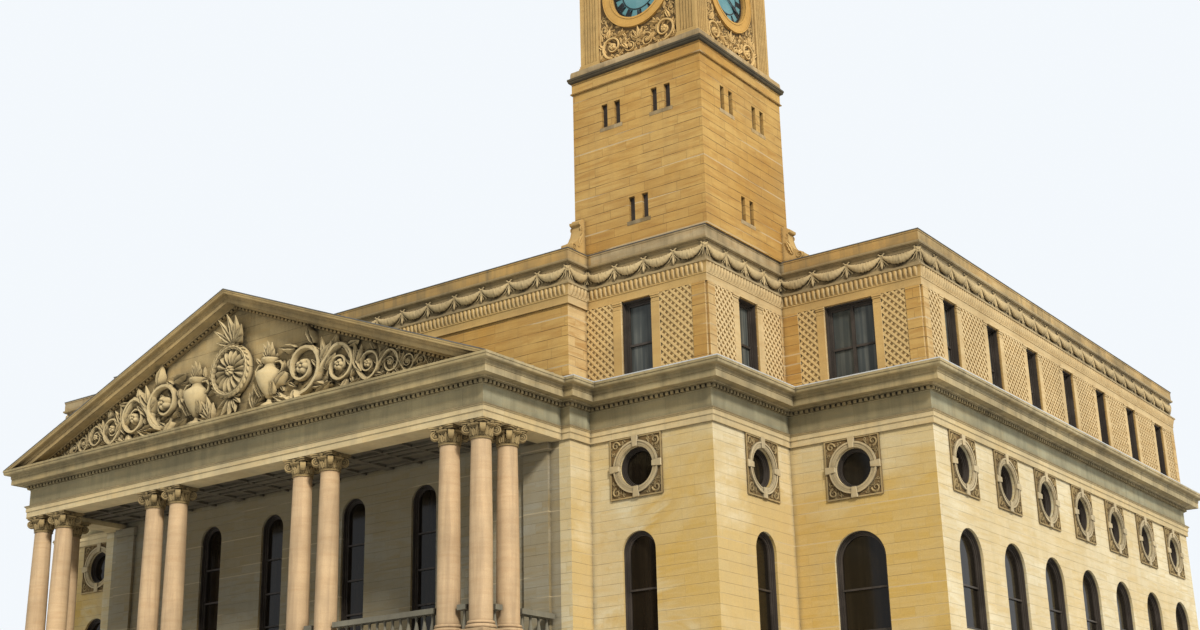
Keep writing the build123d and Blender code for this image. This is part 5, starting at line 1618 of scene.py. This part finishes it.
# Tower
def shaft_cornice():
    square = tower_square(SHAFT_HALF)
    top = STAGE_Z - SHAFT_TOP
    lower = [(-WALL, 0), (0.034, 0), (0.038, 0.008), (0.038, 0.020), (0.016, 0.040),
             (0.014, 0.050), (0.014, 0.214), (0.024, 0.218), (0.024, 0.230), (-WALL, 0.230)]
    dark = [(-WALL, 0.230), (0.026, 0.230)]
    dark += curve_between((0.028, 0.232), (0.070, 0.286), 0.22, 6)
    dark += [(0.080, 0.290), (0.080, 0.332), (0.068, 0.340), (-WALL, 0.340)]
    upper = [(-WALL, 0.340), (0.064, 0.340), (0.034, 0.362), (0.030, 0.446), (0.020, top),
             (-WALL, top)]
    moulded("shaft_fascia", lower, SHAFT_TOP, square, GOLDEN_STONE,
            ("tower_shaft_cornice",))
    moulded("shaft_ovolo", dark, SHAFT_TOP, square, DARK_OVOLO_STONE)
    moulded("shaft_blocking_course", upper, SHAFT_TOP, square, PLINTH_STONE)


def slit_sills():
    """Pale stones under each pair of slits, and dark boards inside the slits."""
    stones = Carving()
    boards = Carving()
    for place in tower_places(SHAFT_HALF, 0):
        for middle, level in SLIT_PAIRS:
            low = level - SLIT_HEIGHT / 2
            stones.add(block(middle - 0.26, middle + 0.26, low - 0.075, low, -0.004, 0.004), place)
            for x in (middle - SLIT_OFFSET, middle + SLIT_OFFSET):
                boards.add(block(x - 0.067, x + 0.067, low, low + SLIT_HEIGHT, -0.11, -0.07),
                           place)
    show("slit_sills", stones, PLINTH_STONE)
    show("slit_boards", boards, FRAME_PAINT)


def tower_places(reach, height):
    """A frame in the middle of each face of the tower, a distance out from its axis."""
    return [on_wall(TOWER_X + way.x * reach, TOWER_Y + way.y * reach, height, way)
            for way in (FRONT, RIGHT, BACK, LEFT)]


def fluted_corner(half, width, inner):
    """The plan of a corner pier with flutes on both outer faces."""
    flutes = 5
    line = [(0.0, 0.0)]
    for i in range(flutes):
        centre = 0.095 + 0.064 * i
        for k in range(6):
            angle = math.pi * k / 5
            line.append((centre - 0.024 * math.cos(angle), 0.020 * math.sin(angle)))
    line.append((width, 0.0))
    first = [(half - along, half - deep) for along, deep in line]
    second = [(half - deep, half - along) for along, deep in reversed(line)]
    return first + [(half - width, inner), (inner, inner), (inner, half - width)] + second[:-1]


def plain_corner(half, width, inner):
    return [(half, half), (half - width, half), (half - width, inner), (inner, inner),
            (inner, half - width), (half, half - width)]


def stage_piers():
    """The four corner piers of the clock stage, each with a base, a necking and a cap."""
    inner = PANEL_HALF - 0.02
    corner = prism(fluted_corner(STAGE_HALF, STAGE_PIER, inner), STAGE_Z + 0.13,
                   STAGE_TOP - 0.13)
    for low, high, out in ((0.0, 0.10, 0.026), (0.10, 0.15, 0.012), (2.64, 2.67, 0.010),
                           (2.70, 2.74, 0.014), (2.74, 2.77, 0.022)):
        corner.add(prism(plain_corner(STAGE_HALF + out, STAGE_PIER + 2 * out, inner),
                         STAGE_Z + low, STAGE_Z + high))
    places = [move(TOWER_X, TOWER_Y) @ stretched(x, y, 1) for x in (-1, 1) for y in (-1, 1)]
    show("fluted_corner_piers", repeated(corner, places), GOLDEN_CARVING,
         stands_for=("clock_stage_pilasters",))


# Half of the carving round a dial: x, y, radius and way of each coil
STAGE_COILS = ((0.60, -1.05, 0.255, 1), (0.19, -1.15, 0.15, -1), (0.77, -0.66, 0.105, -1),
               (0.795, -0.41, 0.07, 1), (0.70, 1.00, 0.175, -1), (0.34, 1.13, 0.13, 1),
               (0.78, 0.62, 0.10, 1), (0.80, 0.40, 0.065, -1))
# x, y, length and angle of each single leaf
STAGE_LEAVES = ((0.40, -1.37, 0.22, -60), (0.30, -0.92, 0.17, -30), (0.86, -1.30, 0.2, 15),
                (0.86, -0.86, 0.16, 0), (0.10, -1.38, 0.16, 20), (0.52, 1.26, 0.2, 60),
                (0.10, 1.24, 0.2, 80), (0.86, 1.22, 0.14, 150), (0.40, -0.86, 0.14, 20),
                (0.30, 0.92, 0.14, 150))
STAGE_RELIEF_DEPTH = 1.5


def dial_carving():
    """Coils, leaves and foliage that fill a panel of the clock stage round its dial."""
    half = Carving()
    for x, y, radius, way in STAGE_COILS:
        half.add(coil(radius, way), move(x, y))
    half.add(foliage(lambda x, y: math.hypot(x, y) > 0.83
                     and all(math.hypot(x - cx, y - cy) > 0.7 * r for cx, cy, r, _ in STAGE_COILS),
                     (0.02, 0.87, -1.40, 1.31), 0.078, 0.12))
    for x, y, length, angle in STAGE_LEAVES:
        half.add(leaf(length, length * 0.5), move(x, y) @ turn(angle))
    panel = Carving().add(half).add(half, MIRROR)
    fan = palmette(0.24, 5, 120)
    return panel.add(fan, move(0, -1.05)).add(fan, move(0, 1.06) @ turn(180))


def clock_stage():
    """Corner piers, carved panels and the moulded ring round each dial."""
    stage_piers()
    panel = dial_carving()
    wide = STAGE_HALF - STAGE_PIER
    low = STAGE_Z - DIAL_Z + 0.02
    high = STAGE_TOP - DIAL_Z - 0.01
    edge = band(rectangle(2 * wide, high - low), rectangle(2 * wide, high - low, 0.03),
                -0.002, 0.02)
    panel.add(edge, move(0, low))
    frame_ring = [(x * wide, (low + high) / 2 + y * (high - low) / 2)
                  for x, y in square_ring(1.0, 64)]
    ground = band(frame_ring, circle(0.78, 64), -0.004, 0.003)
    rings = hoop(0.79, DIAL_RADIUS, -0.002, 0.052, 64)
    rings.add(hoop(0.79, 0.765, 0.04, 0.06, 64))
    rings.add(hoop(0.625, DIAL_RADIUS, 0.04, 0.06, 64))
    places = tower_places(PANEL_HALF, DIAL_Z)
    deep = [place @ stretched(1, 1, STAGE_RELIEF_DEPTH) for place in places]
    show("clock_stage_scrollwork", repeated(panel, deep), CLOCK_CARVING, 50)
    show("clock_stage_grounds", repeated(ground, places), PIT_STONE)
    show("moulded_clock_rings", repeated(rings, places), CLOCK_RING,
         stands_for=("clock_rings",))


NUMERALS = ("XII", "I", "II", "III", "IIII", "V", "VI", "VII", "VIII", "IX", "X", "XI")
STROKE = 0.016
NUMERAL_LOW = 0.405
NUMERAL_HIGH = 0.535


def stroke(low_x, high_x, height):
    return prism([(low_x - STROKE, 0), (low_x + STROKE, 0), (high_x + STROKE, height),
                  (high_x - STROKE, height)], -0.001, 0.008)


def numeral(letters):
    """Upright and slanting strokes for an hour."""
    widths = {"I": 0.036, "V": 0.072, "X": 0.074}
    height = NUMERAL_HIGH - NUMERAL_LOW
    x = -sum(widths[letter] for letter in letters) / 2
    piece = Carving()
    for letter in letters:
        wide = widths[letter]
        if letter == "I":
            piece.add(stroke(x + wide / 2, x + wide / 2, height))
        elif letter == "V":
            piece.add(stroke(x + wide / 2, x + 0.012, height))
            piece.add(stroke(x + wide / 2, x + wide - 0.012, height))
        else:
            piece.add(stroke(x + 0.012, x + wide - 0.012, height))
            piece.add(stroke(x + wide - 0.012, x + 0.012, height))
        x += wide
    return piece


def hand(length, width):
    """The outline of a hand with a spade near its tip and a short tail."""
    right = [(0.5, -0.12), (0.32, 0), (0.4, length * 0.55), (1.25, length * 0.72)]
    return ([(width * x, y) for x, y in right] + [(0, length)]
            + [(-width * x, y) for x, y in reversed(right)])


def clock_faces():
    """The chapter rings, numerals and minute marks of the dials, and their hands."""
    marks = hoop(0.588, 0.548, -0.001, 0.010, 64)
    marks.add(hoop(0.392, 0.372, -0.001, 0.008, 64))
    for hour, letters in enumerate(NUMERALS):
        marks.add(numeral(letters), turn(-30 * hour) @ move(0, NUMERAL_LOW))
    for minute in range(60):
        marks.add(block(-0.005, 0.005, 0.538, 0.558, -0.001, 0.006), turn(6 * minute))
    hands = Carving()
    hands.add(prism(hand(0.47, 0.042), 0.022, 0.032), turn(-120))
    hands.add(prism(hand(0.31, 0.055), 0.010, 0.020), turn(-55))
    hands.add(prism(circle(0.045, 20), 0.0, 0.036))
    places = tower_places(PANEL_HALF - DIAL_RECESS, DIAL_Z)
    show("dial_marks", repeated(marks, places), IRON)
    show("shaped_clock_hands", repeated(hands, places), IRON,
         stands_for=("clock_hands",))


def stage_entablature():
    square = tower_square(STAGE_HALF)
    inner = PANEL_HALF - STAGE_HALF - 0.25
    profile = [(inner, 0), (0.014, 0), (0.014, 0.08), (0.022, 0.082), (0.022, 0.15)]
    profile += curve_between((0.024, 0.152), (0.040, 0.172), 0.25, 3)
    profile += [(0.044, 0.174), (0.044, 0.184), (0.006, 0.190), (0.006, 0.404)]
    profile += curve_between((0.010, 0.406), (0.034, 0.430), -0.25, 3)
    profile += [(0.036, 0.432), (0.036, 0.476), (0.080, 0.478)]
    profile += curve_between((0.082, 0.480), (0.108, 0.498), 0.25, 3)
    profile += [(0.172, 0.500), (0.172, 0.572), (0.180, 0.576)]
    profile += curve_between((0.182, 0.580), (0.208, 0.660), -0.16, 8, ogee=True)
    profile += [(0.210, 0.664), (0.210, 0.700), (inner, 0.700)]
    moulded("stage_mouldings", profile, STAGE_TOP, square, GOLDEN_CARVING,
            ("clock_stage_entablature",))
    dentil = eased(-0.024, 0.024, 0.436, 0.474, -0.02, 0.020, 0.003)
    show("stage_dentils", along_plan(dentil, square, 0.056, STAGE_TOP, 0.082), GOLDEN_CARVING,
         35)


def scroll_brackets():
    """Scrolls that lean on the foot of the tower."""
    outline = [(0, 0.72), (0, 0), (0.44, 0), (0.455, 0.05), (0.44, 0.13), (0.36, 0.17),
               (0.25, 0.235), (0.175, 0.34), (0.135, 0.48), (0.13, 0.58), (0.175, 0.60),
               (0.185, 0.62), (0.185, 0.65), (0.14, 0.66), (0.09, 0.72)]
    half = 0.105
    body = prism(outline, -half, half)
    for side in (-1, 1):
        flip = stretched(1, 1, side)
        body.add(scroll(0.085, 1, 1.6, 0.22, 24, 6), move(0.35, 0.095, side * half) @ flip)
        body.add(scroll(0.05, -1, 1.5, 0.24, 20, 6), move(0.11, 0.52, side * half) @ flip)
        body.add(leaf(0.34, 0.11), move(0.22, 0.13, side * (half + 0.002)) @ flip @ turn(22))
        body.add(prism(outline, side * half - 0.008, side * half + 0.008), stretched(1.02, 1, 1))
    inset = 0.115
    brackets = Carving()
    for x, y, facing in ((TOWER_X - SHAFT_HALF + inset, TOWER_Y - SHAFT_HALF, FRONT),
                         (TOWER_X + SHAFT_HALF, TOWER_Y + SHAFT_HALF - inset, RIGHT)):
        place = Matrix((facing, UP, facing.cross(UP))).transposed().to_4x4()
        place.translation = Vector((x, y, PARAPET_Z))
        brackets.add(body, place)
    show("carved_scroll_brackets", brackets, GOLDEN_CARVING, 35,
         ("tower_scroll_brackets",))


def tower_roof_ribs():
    """Rolls over the hips of the tower roof and seams down its sides."""
    low = STAGE_TOP + 0.70
    rise = 1.75
    foot = STAGE_HALF + 0.21 - 0.12
    tip = 0.13
    ribs = Carving()
    for x in (-1, 1):
        for y in (-1, 1):
            path = [(TOWER_X + x * foot, TOWER_Y + y * foot, low + 0.01),
                    (TOWER_X + x * tip, TOWER_Y + y * tip, low + rise)]
            ribs.add(tube(path, [0.03, 0.024], 8))
    for place in tower_places(0, low):
        for i in range(-3, 4):
            top = 1 - abs(i) / 4
            side = i * foot / 4
            start = place @ Vector((side, 0.01, foot))
            end = place @ Vector((side, rise * top, foot + (tip - foot) * top))
            ribs.add(tube([start, end], 0.012, 6))
    show("tower_roof_rolls", ribs, ROOF_METAL, 60)


# Entrances and roofs
SEAM_PITCH = 0.62
GABLE_SEAM_PITCH = 0.28


def entrance_joinery():
    """Panelled leaves and a barred fanlight in each entrance."""
    centre = ENTRANCE_CROWN - ENTRANCE_SILL - ENTRANCE_HALF

    def ray(reach, angle):
        x, y = polar(reach, angle)
        return (x, centre + y, 0.012)

    high = DOOR_HEAD - ENTRANCE_SILL
    width = 2 * ENTRANCE_HALF
    joinery = band(rectangle(width, high), rectangle(width, high, 0.05), -0.002, 0.03)
    joinery.add(block(-0.022, 0.022, 0, high, -0.002, 0.026))
    for side in (-1, 1):
        for low, top in ((0.10, 0.62), (0.70, 1.16), (1.24, high - 0.10)):
            panel = band(rectangle(0.48, top - low), rectangle(0.48, top - low, 0.035),
                         -0.002, 0.018)
            panel.add(eased(-0.17, 0.17, 0.07, top - low - 0.07, -0.002, 0.014, 0.006))
            joinery.add(panel, move(side * 0.32, low))
    joinery.add(block(-ENTRANCE_HALF, ENTRANCE_HALF, high, high + 0.07, -0.002, 0.05))
    for i in range(7):
        spoke = [ray(0.16, math.pi * i / 6), ray(0.63, math.pi * i / 6)]
        joinery.add(tube(spoke, 0.012, 6))
    for reach, wide in ((0.63, 0.02), (0.16, 0.014), (0.40, 0.010)):
        joinery.add(tube([ray(reach, math.pi * i / 20) for i in range(21)], wide, 6))
    places = [on_wall(x, BASE_Y + GLASS_RECESS, ENTRANCE_SILL, FRONT)
              for x in (-ENTRANCE_PITCH, 0, ENTRANCE_PITCH)]
    show("entrance_joinery", repeated(joinery, places), DOOR_WOOD)


def roof_seams():
    """Standing seams on the flat roof and the portico roof."""
    seams = Carving()
    for i in range(-18, 19):
        x = i * SEAM_PITCH
        front = MAIN_Y
        if abs(x) < BAY_HALF - 0.5:
            front = BAY_Y
        if abs(x) < CENTRE_HALF - 0.5:
            front = CENTRE_Y
        if abs(x - TOWER_X) < SHAFT_HALF + 0.05:
            front = TOWER_Y + SHAFT_HALF - 0.4
        seams.add(block(x - 0.012, x + 0.012, front + 0.5, BACK_Y - 0.5, ROOF_Z - 0.002,
                        ROOF_Z + 0.03))
    for side in (-1, 1):
        for i in range(7):
            y = PORTICO_Y + 0.34 + i * GABLE_SEAM_PITCH
            foot = Vector((side * (GABLE_HALF - 0.05), y, ATTIC_Z + 0.05 * GABLE_SLOPE))
            ridge = Vector((0, y, APEX_Z))
            seams.add(tube([foot, ridge], 0.012, 6))
    show("standing_seams", seams, ROOF_METAL, 60)


# Floor, light and camera
CAMERA_SPOT = Vector((23.264, -29.972, 0.80))
CAMERA_YAW = math.radians(35.761)
CAMERA_PITCH = math.radians(18.657)
CAMERA_ROLL = math.radians(-1.320)
CAMERA_LENS = 48.975
SUN_WAY = Vector((0.70, -0.47, 0.55))
SUN_STRENGTH = 3.9
SUN_COLOUR = (1.0, 0.965, 0.90)
SUN_SPREAD = math.radians(9)
SKY_COLOUR = (0.88, 0.94, 1.0, 1.0)
SKY_LOW = 0.20
SKY_HIGH = 0.85
PALE_SKY = (0.90, 0.94, 0.98, 1.0)
FLOOR_REACH = 400.0


def stage_floor():
    """A wide pale floor that blends into the pale background."""
    mesh = bpy.data.meshes.new("floor")
    reach = FLOOR_REACH
    corners = [(-reach, -reach), (reach, -reach), (reach, reach), (-reach, reach)]
    mesh.from_pydata([(x, y, -0.002) for x, y in corners], [], [(0, 1, 2, 3)])
    material, nodes, finish = new_material("pale floor")
    speck = nodes.noise(nodes.place(), 0.6, 4.0)
    nodes.feed(finish["Base Color"], nodes.mix(nodes.reach(speck, 0.3, 0.7), rgb(0.66, 0.66, 0.65),
                                               rgb(0.70, 0.70, 0.69)))
    finish["Roughness"].default_value = 0.9
    mesh.materials.append(material)
    floor = bpy.data.objects.new("floor", mesh)
    bpy.context.scene.collection.objects.link(floor)


def studio_light():
    """One wide soft sun and an even sky."""
    lamp = bpy.data.lights.new("sun", "SUN")
    lamp.energy = SUN_STRENGTH
    lamp.angle = SUN_SPREAD
    lamp.color = SUN_COLOUR
    sun = bpy.data.objects.new("sun", lamp)
    sun.rotation_euler = SUN_WAY.to_track_quat("Z", "Y").to_euler()
    bpy.context.scene.collection.objects.link(sun)
    world = bpy.data.worlds.new("even sky")
    bpy.context.scene.world = world
    world.use_nodes = True
    nodes = Nodes(world.node_tree)
    world.node_tree.nodes.clear()
    way = nodes.add("ShaderNodeSeparateXYZ", {0: nodes.add("ShaderNodeTexCoord")
                                              .outputs["Generated"]}).outputs
    strength = nodes.reach(way[2], -0.1, 0.9, SKY_LOW, SKY_HIGH)
    glow = nodes.add("ShaderNodeBackground", {"Color": SKY_COLOUR, "Strength": strength})
    seen = nodes.add("ShaderNodeBackground", {"Color": PALE_SKY, "Strength": 1.0})
    path = nodes.add("ShaderNodeLightPath").outputs
    direct = nodes.math("MAXIMUM", path["Is Camera Ray"],
                        nodes.math("MAXIMUM", path["Is Glossy Ray"], path["Is Transmission Ray"]))
    blend = nodes.add("ShaderNodeMixShader", {0: direct, 1: glow.outputs[0], 2: seen.outputs[0]})
    output = nodes.add("ShaderNodeOutputWorld", {"Surface": blend.outputs[0]})
    output.is_active_output = True


def camera():
    """The view of the photograph: low, from the right, looking up with a slight tilt."""
    lens = bpy.data.cameras.new("street view")
    lens.sensor_width = 36.0
    lens.lens = CAMERA_LENS
    lens.clip_end = 1000.0
    forward = Vector((-math.sin(CAMERA_YAW) * math.cos(CAMERA_PITCH),
                      math.cos(CAMERA_YAW) * math.cos(CAMERA_PITCH), math.sin(CAMERA_PITCH)))
    right = Vector((math.cos(CAMERA_YAW), math.sin(CAMERA_YAW), 0))
    up = right.cross(forward)
    tilted = right * math.cos(CAMERA_ROLL) + up * math.sin(CAMERA_ROLL)
    upright = -right * math.sin(CAMERA_ROLL) + up * math.cos(CAMERA_ROLL)
    view = bpy.data.objects.new("street view", lens)
    place = Matrix((tilted, upright, -forward)).transposed().to_4x4()
    place.translation = CAMERA_SPOT
    view.matrix_world = place
    bpy.context.scene.collection.objects.link(view)
    bpy.context.scene.camera = view


random.seed(7)
dress_nodes()
entablature()
attic_frieze()
garlands()
attic = attic_runs()
attic_dressing(attic)
window_joinery(attic)
oculus_surrounds()
raking_cornice()
pediment_relief()
capitals()
portico_soffit()
shaft_cornice()
slit_sills()
clock_stage()
clock_faces()
stage_entablature()
scroll_brackets()
tower_roof_ribs()
entrance_joinery()
roof_seams()
stage_floor()
studio_light()
camera()
bpy.context.scene.view_settings.view_transform = "Standard"
